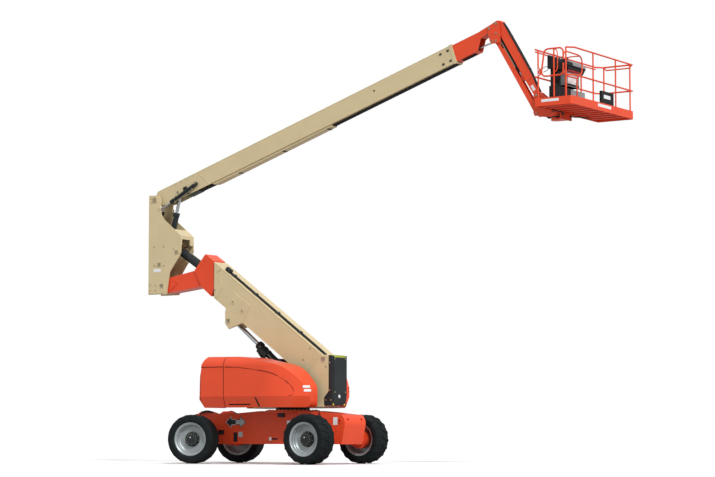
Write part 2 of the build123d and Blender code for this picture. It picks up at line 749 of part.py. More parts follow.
HEAD_HALF = 205
ARM_HALF = 175
ARM_PLATE = [(-2700, 3945), (-2641, 3931), (-2487, 3834), (-2715, 3650), (-2780, 3642), (-2948, 3708),
             (-2948, 3852),
             (-2850, 3888)]
HEAD_PANEL = [(-1895, 4100), (-1722, 4300), (-1610, 4235), (-1600, 3880), (-1660, 3855), (-1925, 4032)]
with BuildPart() as tower_head:
    with BuildSketch(side_plane()):
        with BuildLine():
            Polyline((-1720, 4420), (-1500, 4270), (-1482, 3700), (-1560, 3520), (-1830, 3740),
                     (-2780, 3630),
                     (-2960, 3700), (-2960, 3860), (-2850, 3900), (-2700, 3960), (-2010, 4085), close=True)
        make_face()
        with Locations(UPRIGHT_PIN):
            Circle(100)
    extrude(amount=ARM_HALF, both=True)
    with BuildSketch(side_plane()):
        with BuildLine():
            Polyline((-1720, 4420), (-1500, 4270), (-1482, 3700), (-1560, 3520), (-1830, 3740),
                     (-2010, 4085),
                     close=True)
        make_face()
    extrude(amount=HEAD_HALF, both=True)
    with BuildSketch(tower):
        with BuildLine():
            Polyline((2000, FLY_TOP - 12), (4700, FLY_TOP - 12), (4700, -640), (3950, -640), (3600, -540),
                     (3450, FLY_LOW + 12), (2000, FLY_LOW + 12), close=True)
        make_face()
    extrude(amount=ARM_HALF - 16, both=True, mode=Mode.SUBTRACT)
    with BuildSketch(side_plane()):
        with BuildLine():
            Polyline((-2010, 4068), (-2690, 3942), (-2945, 3848), (-2945, 3712), (-2775, 3646),
                     (-1838, 3757),
                     (-1700, 3670), (-1700, 4100), close=True)
        make_face()
    extrude(amount=ARM_HALF - 16, both=True, mode=Mode.SUBTRACT)
    add(level_path(), mode=Mode.SUBTRACT)
    for side in (-1, 1):
        with BuildSketch(side_plane(side * ARM_HALF)):
            with BuildLine():
                Polyline(*ARM_PLATE, close=True)
            make_face()
        extrude(amount=-side * 8)
        with BuildSketch(side_plane(side * HEAD_HALF)):
            with BuildLine():
                Polyline(*HEAD_PANEL, close=True)
            make_face()
        extrude(amount=side * 6, mode=Mode.SUBTRACT)
    with BuildSketch(side_plane()):
        with Locations(UPRIGHT_PIN):
            Circle(85)
    extrude(amount=ARM_HALF, both=True)
    with BuildSketch(side_plane()):
        with Locations(UPRIGHT_PIN):
            Circle(40 + PIN_FIT)
    extrude(amount=300, both=True, mode=Mode.SUBTRACT)
write(tower_head.part, "tower_head")

write(
    barrel_solid(TOWER_LIFT_BASE, TOWER_LUG, 75, 1780, 46, 80, 60, 40 + PIN_FIT), "tower_lift_barrel"
)
write(rod_solid(TOWER_LIFT_BASE, TOWER_LUG, 45, 1130, 60, 60, 38 + PIN_FIT), "tower_lift_rod")

# ---------------------------------------------------------------- upright
UPRIGHT_T = 20
FOOT_PLATE_T = 10
with BuildPart() as upright:
    for side in (-1, 1):
        with BuildSketch(side_plane(side * (TOWER_HALF - UPRIGHT_T / 2))):
            with BuildLine():
                Polyline(
                    (-3250, 5760), (-2980, 5750), (-2920, 5640), (-2940, 5450), (-2900, 5310),
                    (-2810, 5200),
                    (-2370, 4850), (-2360, 4530), (-2400, 4410), (-2550, 4230), (-2670, 4060),
                    (-2705, 3860),
                    (-2745, 3605), (-3250, 3605), close=True,
                )
            make_face()
            with Locations(UPRIGHT_PIN):
                Circle(40, mode=Mode.SUBTRACT)
            with Locations(LEVEL_BASE):
                Circle(35, mode=Mode.SUBTRACT)
            with Locations(MAIN_PIVOT):
                Circle(45, mode=Mode.SUBTRACT)
            with Locations(MAIN_LIFT_BASE):
                Circle(35, mode=Mode.SUBTRACT)
            with Locations(MASTER_EYE):
                Circle(16, mode=Mode.SUBTRACT)
        extrude(amount=UPRIGHT_T / 2, both=True)
    with BuildSketch(side_plane()):
        with BuildLine():
            Polyline((-3250, 5380), (-3230, 5380), (-3230, 3800), (-3250, 3800), close=True)
        make_face()
    extrude(amount=TOWER_HALF - UPRIGHT_T, both=True)
    with BuildSketch(side_plane()):
        with BuildLine():
            Polyline((-2400, 4870), (-2370, 4850), (-2365, 4650), (-2385, 4650), (-2388, 4840),
                     (-2560, 4975),
                     (-2560, 5000), close=True)
        make_face()
    extrude(amount=TOWER_HALF - UPRIGHT_T, both=True)
    with BuildSketch(Plane.YZ.offset(-2410)):
        with Locations((-40, 4706)):
            Rectangle(280, 138)
    extrude(amount=60, mode=Mode.SUBTRACT)
    for side in (-1, 1):
        with BuildSketch(side_plane(side * TOWER_HALF)):
            with Locations((-3020, 3782)):
                RectangleRounded(440, 320, 60)
            with Locations(UPRIGHT_PIN):
                Circle(40, mode=Mode.SUBTRACT)
        extrude(amount=-side * FOOT_PLATE_T)
        with BuildSketch(side_plane(side * TOWER_HALF)):
            with Locations(MASTER_EYE):
                Circle(45)
                Circle(16, mode=Mode.SUBTRACT)
        extrude(amount=-side * 8)
write(upright.part, "upright")
UPRIGHT_PINS = [(UPRIGHT_PIN, 40), (LEVEL_BASE, 35), (MAIN_PIVOT, 45), (MAIN_LIFT_BASE, 35)]
with BuildPart() as upright_pins:
    add(pin_set([(point, radius, TOWER_HALF + FOOT_PLATE_T + 8) for point, radius in UPRIGHT_PINS], []))
    with BuildSketch(side_plane(-184)):
        with Locations(MASTER_EYE):
            Circle(16)
    extrude(amount=TOWER_HALF + 10 - 184)
write(upright_pins.part, "upright_pins")

write(barrel_solid(LEVEL_BASE, LEVEL_EYE, 90, 1150, 50, 85, 70, 35 + PIN_FIT), "level_barrel")
write(rod_solid(LEVEL_BASE, LEVEL_EYE, 49, 620, 60, 60, 35 + PIN_FIT), "level_rod")
write(barrel_solid(MAIN_LIFT_BASE, MAIN_LIFT_EYE, 65, 1150, 36, 70, 60, 35 + PIN_FIT), "main_lift_barrel")
write(rod_solid(MAIN_LIFT_BASE, MAIN_LIFT_EYE, 35, 640, 55, 50, 30 + PIN_FIT), "main_lift_rod")

# ---------------------------------------------------------------- main boom
BOOM_TOP = 190
BOOM_LOW = -188
BOOM_END = 7925
BOOM_WALL = 8
boom = boom_plane(MAIN_PIVOT, BOOM_ANGLE)
eye = local(MAIN_LIFT_EYE, boom)

with BuildPart() as main_base:
    with BuildSketch(boom):
        with BuildLine():
            Polyline((-60, 80), (60, BOOM_TOP), (BOOM_END, BOOM_TOP), (BOOM_END, BOOM_LOW), (330, BOOM_LOW),
                     (120, -150), (-60, -80), close=True)
        make_face()
        Circle(100)
    extrude(amount=BOOM_HALF, both=True)
    with BuildSketch(boom):
        with BuildLine():
            Polyline((120, BOOM_TOP - BOOM_WALL), (BOOM_END + 50, BOOM_TOP - BOOM_WALL),
                     (BOOM_END + 50, BOOM_LOW + BOOM_WALL), (1450, BOOM_LOW + BOOM_WALL), (1450, -400),
                     (150, -400),
                     close=True)
        make_face()
    extrude(amount=BOOM_HALF - BOOM_WALL, both=True, mode=Mode.SUBTRACT)
    # hose tray under the boom, and the notch that lets the lift rod past the root
    with BuildSketch(boom):
        with BuildLine():
            Polyline((1500, BOOM_LOW + 1), (1500, BOOM_LOW - 30), (1600, BOOM_LOW - 45),
                     (4730, BOOM_LOW - 38),
                     (4730, BOOM_LOW + 1), close=True)
        make_face()
    extrude(amount=95, both=True)
    with BuildSketch(boom):
        with BuildLine():
            Polyline((-130, -300), (-130, -104), (70, -104), (140, -50), (200, -300), close=True)
        make_face()
    extrude(amount=45, both=True, mode=Mode.SUBTRACT)
    with BuildSketch(boom):
        Circle(45 + PIN_FIT)
        with Locations(eye):
            Circle(30)
    extrude(amount=300, both=True, mode=Mode.SUBTRACT)
write(main_base.part, "main_base")

INNER_TOP = BOOM_TOP - BOOM_WALL - SLIDE_GAP
INNER_LOW = BOOM_LOW + BOOM_WALL + SLIDE_GAP
INNER_HALF = BOOM_HALF - BOOM_WALL - SLIDE_GAP
pin_a = local(KNUCKLE_PIN, boom)
SLAVE_BASE_AT = (7950, -60)
with BuildPart() as main_fly:
    with BuildSketch(boom):
        with BuildLine():
            Polyline((1500, INNER_TOP), (8560, INNER_TOP), (pin_a[0] - 20, pin_a[1] + 62),
                     (pin_a[0] + 20, pin_a[1] + 60),
                     (pin_a[0] + 55, pin_a[1] - 25), (8753, 73), (8570, 29), (8430, INNER_LOW),
                     (1500, INNER_LOW),
                     close=True)
        make_face()
        with Locations(pin_a):
            Circle(65)
    extrude(amount=INNER_HALF, both=True)
    with BuildSketch(boom):
        with BuildLine():
            Polyline((1400, INNER_TOP - 8), (8600, INNER_TOP - 8), (8600, INNER_LOW + 8),
                     (1400, INNER_LOW + 8),
                     close=True)
        make_face()
    extrude(amount=INNER_HALF - 8, both=True, mode=Mode.SUBTRACT)
    with BuildSketch(boom):
        with Locations(pin_a):
            Circle(25 + PIN_FIT)
    extrude(amount=300, both=True, mode=Mode.SUBTRACT)
    with BuildSketch(boom):
        with Locations(SLAVE_BASE_AT):
            Circle(16)
    extrude(amount=INNER_HALF - 4, both=True)
write(main_fly.part, "main_fly")

MASTER_Y = -160
write(barrel_solid(MASTER_BASE, MASTER_EYE, 38, 760, 21, 36, 22, 16 + PIN_FIT, MASTER_Y), "master_barrel")
write(rod_solid(MASTER_BASE, MASTER_EYE, 20, 460, 32, 22, 16 + PIN_FIT, MASTER_Y), "master_rod")
with BuildPart() as main_base_pins:
    add(pin_set([], [(MAIN_LIFT_EYE, 30, 56, BOOM_HALF + 6)]))
    with BuildSketch(side_plane(-BOOM_HALF)):
        with Locations(MASTER_BASE):
            Circle(16)
    extrude(amount=85)
write(main_base_pins.part, "main_base_pins")

# ---------------------------------------------------------------- knuckle and jib
PLATE_IN = 101
PLATE_OUT = 115
with BuildPart() as jib_knuckle:
    for side in (-1, 1):
        with BuildSketch(side_plane(side * (PLATE_IN + PLATE_OUT) / 2)):
            with BuildLine():
                Polyline((5190, 8610), (5400, 8715), (5450, 8680), (5485, 8300), (5440, 8265), (5290, 8265),
                         (5245, 8310), (5215, 8440), close=True)
            make_face()
            for point, radius in ((KNUCKLE_PIN, 25), (JIB_PIN, 25), (SLAVE_EYE, 16), (LINK_PIN, 20),
                                  (JIB_LIFT_BASE, 18)):
                with Locations(point):
                    Circle(radius, mode=Mode.SUBTRACT)
        extrude(amount=(PLATE_OUT - PLATE_IN) / 2, both=True)
write(jib_knuckle.part, "jib_knuckle")
KNUCKLE_PINS = [(KNUCKLE_PIN, 25), (JIB_PIN, 25), (LINK_PIN, 20), (JIB_LIFT_BASE, 18)]
write(
    pin_set([(point, radius, PLATE_OUT + 8) for point, radius in KNUCKLE_PINS], [(SLAVE_EYE, 16, 30,
                                                                                  PLATE_OUT + 8)]),
    "knuckle_pins",
)

slave_base = boom.from_local_coords(Vector(*SLAVE_BASE_AT, 0))
SLAVE_BASE = (slave_base.X, slave_base.Z)
write(barrel_solid(SLAVE_BASE, SLAVE_EYE, 35, 480, 19, 34, 30, 16 + PIN_FIT), "slave_barrel")
write(rod_solid(SLAVE_BASE, SLAVE_EYE, 18, 340, 26, 25, 16 + PIN_FIT), "slave_rod")

jib = boom_plane(JIB_PIN, JIB_ANGLE)
JIB_TUBE_TOP = 104
JIB_TUBE_LOW = -60
JIB_HALF = 70
LIFT_EYE = (1250, -100)
with BuildPart() as jib_tube:
    with BuildSketch(jib):
        with BuildLine():
            Polyline((-60, 40), (0, JIB_TUBE_TOP), (1280, JIB_TUBE_TOP), (JIB_LENGTH + 20, 60),
                     (JIB_LENGTH + 50, 0), (JIB_LENGTH, -50), (1300, JIB_TUBE_LOW), (0, JIB_TUBE_LOW),
                     (-60, -20),
                     close=True)
        make_face()
    extrude(amount=JIB_HALF, both=True)
    with BuildSketch(jib):
        with BuildLine():
            Polyline((60, JIB_TUBE_TOP - 8), (1250, JIB_TUBE_TOP - 8), (1600, 45), (1600, -40),
                     (1290, JIB_TUBE_LOW + 8),
                     (60, JIB_TUBE_LOW + 8), close=True)
        make_face()
    extrude(amount=JIB_HALF - 8, both=True, mode=Mode.SUBTRACT)
    with BuildSketch(jib):
        with BuildLine():
            Polyline((-100, -25), (60, -25), (60, JIB_TUBE_LOW + 12), (1100, JIB_TUBE_LOW + 12),
                     (1100, -100),
                     (-100, -100), close=True)
        make_face()
    extrude(amount=43, both=True, mode=Mode.SUBTRACT)
    with BuildSketch(jib):
        with Locations((1220, JIB_TUBE_LOW)):
            Rectangle(250, 24)
    extrude(amount=26, both=True, mode=Mode.SUBTRACT)
    for side in (-1, 1):
        with BuildSketch(boom_plane(JIB_PIN, JIB_ANGLE, side * 35)):
            with BuildLine():
                Polyline((1160, JIB_TUBE_LOW + 4), (1215, -122), (1285, -122), (1340, JIB_TUBE_LOW + 4),
                         close=True)
            make_face()
        extrude(amount=6, both=True)
    for x, radius in ((0, 25), (JIB_LENGTH, 25)):
        with BuildSketch(jib):
            with Locations((x, 0)):
                Circle(radius + PIN_FIT)
        extrude(amount=200, both=True, mode=Mode.SUBTRACT)
write(jib_tube.part, "jib_tube")

link = boom_plane(LINK_PIN, JIB_ANGLE)
with BuildPart() as jib_link:
    with BuildSketch(link):
        with Locations((JIB_LENGTH / 2, 0)):
            SlotCenterToCenter(JIB_LENGTH, 100)
    extrude(amount=57.5, both=True)
    with BuildSketch(link):
        with BuildLine():
            Polyline((-300, -100), (70, -100), (70, -42), (JIB_LENGTH - 60, -42), (JIB_LENGTH - 60, 100),
                     (-300, 100),
                     close=True)
        make_face()
    extrude(amount=49.5, both=True, mode=Mode.SUBTRACT)
    # dip that passes the foot pin of the jib cylinder when the jib is up
    with BuildSketch(link):
        with BuildLine():
            Polyline((62, 60), (98, 20), (180, 20), (216, 60), close=True)
        make_face()
    extrude(amount=80, both=True, mode=Mode.SUBTRACT)
    for x in (0, JIB_LENGTH):
        with BuildSketch(link):
            with Locations((x, 0)):
                Circle(20 + PIN_FIT)
        extrude(amount=200, both=True, mode=Mode.SUBTRACT)
write(jib_link.part, "jib_link")

LIFT_EYE_XZ = (jib.from_local_coords(Vector(*LIFT_EYE, 0)).X, jib.from_local_coords(Vector(*LIFT_EYE, 0)).Z)
write(barrel_solid(JIB_LIFT_BASE, LIFT_EYE_XZ, 35, 900, 19, 32, 26, 18 + PIN_FIT), "jib_lift_barrel")
write(rod_solid(JIB_LIFT_BASE, LIFT_EYE_XZ, 18, 450, 22, 24, 16 + PIN_FIT), "jib_lift_rod")

# ---------------------------------------------------------------- platform support and rotator
jib_end = jib.from_local_coords(Vector(JIB_LENGTH, 0, 0))
link_end = link.from_local_coords(Vector(JIB_LENGTH, 0, 0))
JIB_END = (jib_end.X, jib_end.Z)
LINK_END = (link_end.X, link_end.Z)
ROTATOR_R = 105
with BuildPart() as jib_foot:
    for side in (-1, 1):
        with BuildSketch(side_plane(side * 84)):
            with BuildLine():
                Polyline((JIB_END[0] - 60, JIB_END[1]), (JIB_END[0] - 30, JIB_END[1] + 65),
                         (JIB_END[0] + 60, JIB_END[1] + 60), (ROTATE_X - 160, 7080),
                         (ROTATE_X - 40, 7080), (ROTATE_X - 40, 6700),
                         (LINK_END[0] + 60, LINK_END[1] - 65), (LINK_END[0] - 40, LINK_END[1] - 60),
                         (LINK_END[0] - 65, LINK_END[1]), close=True)
            make_face()
            with Locations(JIB_END):
                Circle(25, mode=Mode.SUBTRACT)
            with Locations(LINK_END):
                Circle(20, mode=Mode.SUBTRACT)
        extrude(amount=8, both=True)
    with BuildSketch(Plane.XY.offset(6680)):
        with Locations((ROTATE_X, 0)):
            Circle(ROTATOR_R)
    extrude(amount=400)
write(jib_foot.part, "jib_foot")
write(pin_set([(JIB_END, 25, 98), (LINK_END, 20, 98)], []), "jib_foot_pins")

with BuildPart() as platform_mount:
    for z in (6640, 7086):
        with BuildSketch(Plane.XY.offset(z)):
            with Locations((ROTATE_X, 0)):
                Circle(ROTATOR_R)
            with Locations(((ROTATE_X + PLATFORM_BACK) / 2, 0)):
                Rectangle(PLATFORM_BACK - ROTATE_X, 2 * ROTATOR_R)
        extrude(amount=34)
    with BuildSketch(Plane.YZ.offset(PLATFORM_BACK - 30)):
        with Locations((0, 6880)):
            Rectangle(420, 480)
    extrude(amount=30)
write(platform_mount.part, "platform_mount")

# ---------------------------------------------------------------- platform
TOE_CORNER = 45
RAIL_CORNER = 120
RAIL_INSET = 25
RAIL_NEAR = -PLATFORM_NEAR + RAIL_INSET
RAIL_FAR = PLATFORM_FAR - RAIL_INSET
RAIL_BACK = PLATFORM_BACK + RAIL_INSET
RAIL_FRONT = PLATFORM_FRONT - RAIL_INSET
RAIL_END = -1262
SECOND_R = TUBE_R - 3
FLOOR_Z = PLATFORM_BOTTOM + 55
SKIRT_T = 3


def floor_outline(inset):
    cut = TOE_CORNER - inset * 0.4
    back = PLATFORM_BACK + inset
    front = PLATFORM_FRONT - inset
    near = -PLATFORM_NEAR + inset
    far = PLATFORM_FAR - inset
    Polyline((back, near), (front - cut, near), (front, near + cut), (front, far - cut), (front - cut, far),
             (back, far), close=True)


with BuildPart() as platform_floor:
    with BuildSketch(Plane.XY.offset(PLATFORM_BOTTOM)):
        with BuildLine():
            floor_outline(0)
        make_face()
    extrude(amount=TOE_TOP - PLATFORM_BOTTOM)
    for low, high in ((FLOOR_Z + 5, TOE_TOP + 10), (PLATFORM_BOTTOM - 10, FLOOR_Z)):
        with BuildSketch(Plane.XY.offset(low)):
            with BuildLine():
                floor_outline(SKIRT_T)
            make_face()
        extrude(amount=high - low, mode=Mode.SUBTRACT)
    for y in (-1000, -750, -500, -250, 0, 250, 500, 750, 1000):
        with BuildSketch(Plane.XY.offset(PLATFORM_BOTTOM + 15)):
            with Locations(((PLATFORM_BACK + PLATFORM_FRONT) / 2, y)):
                Rectangle(PLATFORM_FRONT - PLATFORM_BACK - SKIRT_T, 40)
        extrude(amount=FLOOR_Z - PLATFORM_BOTTOM - 15)
write(platform_floor.part, "platform_floor")


def rail_loop(z):
    # rail round the platform at one height, open at the entry in the right-hand end
    with BuildPart() as rail:
        with BuildLine() as path:
            Polyline((RAIL_FRONT - RAIL_CORNER, RAIL_NEAR, z),
                     (RAIL_FRONT, RAIL_NEAR + RAIL_CORNER, z),
                     (RAIL_FRONT, RAIL_FAR, z),
                     (RAIL_BACK + RAIL_CORNER, RAIL_FAR, z),
                     (RAIL_BACK, RAIL_FAR - RAIL_CORNER, z),
                     (RAIL_BACK, RAIL_END, z))
        with BuildSketch(Plane(origin=path.line @ 0, z_dir=path.line % 0)):
            Circle(TUBE_R)
        sweep(transition=Transition.RIGHT)
    return rail.part


with BuildPart() as platform_rails:
    add(rail_loop(TOP_RAIL - TUBE_R))
    add(rail_loop(MID_RAIL))
    # second rail below the top one, straight at the back and turned up at both ends on the far side
    with BuildSketch(Plane(origin=(RAIL_BACK, RAIL_END, TOP_RAIL - 60), z_dir=(0, 1, 0))):
        Circle(SECOND_R)
    extrude(amount=RAIL_FAR - RAIL_CORNER - RAIL_END)
    with BuildLine(side_plane(RAIL_FAR)) as second:
        FilletPolyline((7040, TOP_RAIL - 27), (7085, TOP_RAIL - 78), (7590, TOP_RAIL - 78),
                       (7635, TOP_RAIL - 27),
                       radius=40)
    with BuildSketch(Plane(origin=second.line @ 0, z_dir=second.line % 0)):
        Circle(SECOND_R)
    sweep(path=second.line, transition=Transition.ROUND)
    post_points = [(RAIL_BACK, y) for y in (-560, 0, 560)]
    post_points += [(RAIL_FRONT, y) for y in (-352, 577, 1190)]
    post_points += [(RAIL_BACK + 17, -1190), (RAIL_FRONT - RAIL_CORNER, RAIL_NEAR), (7030, RAIL_FAR)]
    with BuildSketch(Plane.XY.offset(FLOOR_Z + 5)):
        with Locations(*post_points):
            Circle(TUBE_R - 1)
    extrude(amount=TOP_RAIL - TUBE_R - FLOOR_Z - 5)
write(platform_rails.part, "platform_rails")

# the gate turns on a barrel beside its sloping rear tube, inside the clear entry
GATE_HINGE_X = 6968
GATE_HINGE_R = 12
with BuildPart() as entry_gate:
    with BuildLine(side_plane(RAIL_NEAR)) as gate_path:
        FilletPolyline((6990, MID_RAIL + 5), (7070, TOP_RAIL - TUBE_R), (7470, TOP_RAIL - TUBE_R),
                       (7470, MID_RAIL + 5), radius=90, close=True)
    with BuildSketch(Plane(origin=gate_path.line @ 0, z_dir=gate_path.line % 0)):
        Circle(TUBE_R)
    sweep(transition=Transition.ROUND)
    with BuildSketch(Plane.XY.offset(TOE_TOP + 10)):
        with Locations((7270, RAIL_NEAR)):
            Circle(TUBE_R - 1)
    extrude(amount=TOP_RAIL - TUBE_R - TOE_TOP - 10)
    with BuildSketch(Plane.XY.offset(MID_RAIL + 40)):
        with Locations((GATE_HINGE_X + 20, RAIL_NEAR)):
            Rectangle(40, 8)
    extrude(amount=110)
    with BuildSketch(Plane.XY.offset(MID_RAIL + 25)):
        with Locations((GATE_HINGE_X, RAIL_NEAR)):
            Circle(GATE_HINGE_R)
    extrude(amount=140)
write(entry_gate.part, "entry_gate")

with BuildPart() as control_console:
    # sloped panel along the back rail, the cabinet and stem below it, and the long box it stands on
    with BuildSketch(side_plane(240)):
        with BuildLine():
            Polyline((6950, 7510), (7110, 7510), (7180, 7625), (7165, 7680), (6975, 7770), (6950, 7750),
                     close=True)
        make_face()
    extrude(amount=1120)
    # the last is the document box on the front rail: middle, lowest height, size
    for x, y, low, length, width, height in (
        (7040, -215, 7230, 150, 590, 285), (6995, -635, 7185, 80, 270, 330),
        (7010, -210, 6801, 150, 1160, 388),
        (7601, 280, 6905, 46, 500, 245),
    ):
        with BuildSketch(Plane.XY.offset(low)):
            with Locations((x, y)):
                Rectangle(length, width)
        extrude(amount=height)
write(control_console.part, "control_console")
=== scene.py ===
import json
import math

import bmesh
import bpy
from mathutils import Matrix, Vector


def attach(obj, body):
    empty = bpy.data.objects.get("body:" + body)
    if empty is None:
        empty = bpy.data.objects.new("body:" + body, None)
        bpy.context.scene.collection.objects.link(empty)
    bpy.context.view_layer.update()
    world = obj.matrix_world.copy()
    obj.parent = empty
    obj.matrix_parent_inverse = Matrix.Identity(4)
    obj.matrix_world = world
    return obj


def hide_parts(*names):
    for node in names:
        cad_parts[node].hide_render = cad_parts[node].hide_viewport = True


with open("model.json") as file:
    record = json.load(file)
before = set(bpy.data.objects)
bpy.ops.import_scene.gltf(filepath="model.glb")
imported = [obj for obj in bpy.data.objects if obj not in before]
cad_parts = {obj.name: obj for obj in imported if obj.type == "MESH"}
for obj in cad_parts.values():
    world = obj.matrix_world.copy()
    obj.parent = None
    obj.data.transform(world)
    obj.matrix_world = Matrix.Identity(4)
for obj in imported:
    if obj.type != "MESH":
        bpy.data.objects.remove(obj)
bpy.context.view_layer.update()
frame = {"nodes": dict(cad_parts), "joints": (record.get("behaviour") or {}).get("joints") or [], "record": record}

print("frame loaded", len(frame["nodes"]), "nodes")

# positions below are in metres from the middle of the wheelbase; the frame's origin is under the middle of
# the whole length
lengthMiddle = 2.21
# the machine's own planes
towerPivot = Vector((1.37, 0, 2.13))
mainPivot = Vector((-3.09, 0, 5.65))
jibPin = Vector((5.39, 0, 8.655))
towerAngle = math.radians(36)
boomAngle = math.radians(18.45)
jibAngle = math.radians(-59.5)


def alongTower(s, t, y):
    c, n = math.cos(towerAngle), math.sin(towerAngle)
    return towerPivot + Vector((-c * s + n * t, y, n * s + c * t))


def alongBoom(s, t, y):
    c, n = math.cos(boomAngle), math.sin(boomAngle)
    return mainPivot + Vector((c * s - n * t, y, n * s + c * t))


def alongJib(s, t, y):
    c, n = math.cos(jibAngle), math.sin(jibAngle)
    return jibPin + Vector((c * s - n * t, y, n * s + c * t))


# ---------------------------------------------------------------- materials
def newMaterial(name):
    material = bpy.data.materials.new(name)
    material.use_nodes = True
    return material, material.node_tree.nodes, material.node_tree.links


def paint(name, color, rough=0.35, metallic=0.0, mottle=0.06, scale=2.5, grime=0.0, bump=0.0, shine=0.3):
    material, nodes, links = newMaterial(name)
    shader = nodes["Principled BSDF"]
    shader.inputs["Metallic"].default_value = metallic
    shader.inputs["Roughness"].default_value = rough
    shader.inputs["Specular IOR Level"].default_value = 0.5 if metallic else shine
    coords = nodes.new("ShaderNodeTexCoord")
    noise = nodes.new("ShaderNodeTexNoise")
    noise.inputs["Scale"].default_value = scale
    noise.inputs["Detail"].default_value = 5.0
    links.new(coords.outputs["Object"], noise.inputs["Vector"])
    ramp = nodes.new("ShaderNodeValToRGB")
    ramp.color_ramp.elements[0].position = 0.3
    ramp.color_ramp.elements[1].position = 0.7
    low = [c * (1 - mottle) for c in color]
    high = [min(1.0, c * (1 + mottle)) for c in color]
    ramp.color_ramp.elements[0].color = (*low, 1)
    ramp.color_ramp.elements[1].color = (*high, 1)
    links.new(noise.outputs["Fac"], ramp.inputs["Fac"])
    source = ramp.outputs["Color"]
    if grime > 0:
        dirt = nodes.new("ShaderNodeTexNoise")
        dirt.inputs["Scale"].default_value = scale * 5
        dirt.inputs["Detail"].default_value = 8.0
        links.new(coords.outputs["Object"], dirt.inputs["Vector"])
        dirtRamp = nodes.new("ShaderNodeValToRGB")
        dirtRamp.color_ramp.elements[0].position = 0.55
        dirtRamp.color_ramp.elements[1].position = 0.75
        dirtRamp.color_ramp.elements[0].color = (0, 0, 0, 1)
        dirtRamp.color_ramp.elements[1].color = (grime, grime, grime, 1)
        links.new(dirt.outputs["Fac"], dirtRamp.inputs["Fac"])
        mix = nodes.new("ShaderNodeMixRGB")
        mix.inputs["Color2"].default_value = (0.16, 0.13, 0.10, 1)
        links.new(dirtRamp.outputs["Color"], mix.inputs["Fac"])
        links.new(source, mix.inputs["Color1"])
        source = mix.outputs["Color"]
    links.new(source, shader.inputs["Base Color"])
    if bump > 0:
        grain = nodes.new("ShaderNodeTexNoise")
        grain.inputs["Scale"].default_value = 60.0
        links.new(coords.outputs["Object"], grain.inputs["Vector"])
        bumpNode = nodes.new("ShaderNodeBump")
        bumpNode.inputs["Strength"].default_value = bump
        bumpNode.inputs["Distance"].default_value = 0.002
        links.new(grain.outputs["Fac"], bumpNode.inputs["Height"])
        links.new(bumpNode.outputs["Normal"], shader.inputs["Normal"])
    return material


orangePaint = paint("orangePaint", (0.77, 0.074, 0.024), 0.35, mottle=0.05, grime=0.04)
orangeCover = paint("orangeCover", (0.75, 0.078, 0.027), 0.3, mottle=0.04)
tanPaint = paint("tanPaint", (0.62, 0.51, 0.30), 0.45, mottle=0.04, grime=0.03)
blackPaint = paint("blackPaint", (0.020, 0.025, 0.027), 0.45, mottle=0.15, shine=0.25)
silverPaint = paint("silverPaint", (0.36, 0.40, 0.41), 0.35, metallic=0.4, mottle=0.08)
chromeRod = paint("chromeRod", (0.60, 0.62, 0.65), 0.12, metallic=1.0, mottle=0.03)
pinSteel = paint("pinSteel", (0.42, 0.36, 0.26), 0.4, metallic=0.8, mottle=0.1)
tyreRubber = paint("tyreRubber", (0.010, 0.013, 0.014), 0.75, mottle=0.25, scale=9, bump=0.4, shine=0.12)
blackPlastic = paint("blackPlastic", (0.014, 0.016, 0.018), 0.55, mottle=0.1, shine=0.2)
engineGrey = paint("engineGrey", (0.12, 0.13, 0.14), 0.5, metallic=0.5)
hoseRubber = paint("hoseRubber", (0.012, 0.012, 0.013), 0.5, mottle=0.1)
whitePlate = paint("whitePlate", (0.78, 0.79, 0.80), 0.4, mottle=0.03)
greyPlate = paint("greyPlate", (0.42, 0.44, 0.46), 0.45, mottle=0.05)
yellowPlate = paint("yellowPlate", (0.85, 0.62, 0.04), 0.4, mottle=0.03)
greenPlate = paint("greenPlate", (0.55, 0.62, 0.05), 0.4, mottle=0.03)
redPlastic = paint("redPlastic", (0.55, 0.02, 0.02), 0.35, mottle=0.03)
boltSteel = paint("boltSteel", (0.50, 0.44, 0.26), 0.35, metallic=0.8, mottle=0.1)
# dark line colour: the joints' own dark colour at the panel seams, painted shade along the creases
seamShade = paint("seamShade", (0.13, 0.016, 0.010), 0.8, mottle=0.05, shine=0.1)
print("materials ready")

slotMaterials = {
    "orange": orangePaint, "orange_moulding": orangeCover, "tan": tanPaint, "black_paint": blackPaint,
    "silver_paint": silverPaint, "chrome_rod": chromeRod, "pin_steel": pinSteel, "tyre": tyreRubber,
    "black_plastic": blackPlastic, "engine_grey": engineGrey,
}
slotOf = {part["node"]: part["material_slot"] for part in frame["record"]["subparts"]}
for nodeName, node in frame["nodes"].items():
    node.data.materials.clear()
    node.data.materials.append(slotMaterials[slotOf[nodeName]])
print("frame painted")


# ---------------------------------------------------------------- small pieces
def finishPiece(name, bm, material, body):
    bmesh.ops.translate(bm, verts=bm.verts, vec=(-lengthMiddle, 0, 0))
    bmesh.ops.recalc_face_normals(bm, faces=bm.faces)
    mesh = bpy.data.meshes.new(name)
    bm.to_mesh(mesh)
    bm.free()
    piece = bpy.data.objects.new(name, mesh)
    bpy.context.scene.collection.objects.link(piece)
    mesh.materials.append(material)
    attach(piece, body)
    return piece


def turnTo(direction):
    return Vector(direction).normalized().to_track_quat("Z", "Y").to_matrix().to_4x4()


def addRod(bm, start, end, radius, segments=12):
    start, end = Vector(start), Vector(end)
    matrix = Matrix.Translation((start + end) / 2) @ turnTo(end - start)
    bmesh.ops.create_cone(bm, cap_ends=True, segments=segments, radius1=radius, radius2=radius,
                          depth=(end - start).length, matrix=matrix)


def addBox(bm, centre, size, turn=None):
    matrix = Matrix.Translation(Vector(centre))
    if turn is not None:
        matrix = matrix @ turn
    matrix = matrix @ Matrix.Diagonal((size[0], size[1], size[2], 1))
    bmesh.ops.create_cube(bm, size=1.0, matrix=matrix)


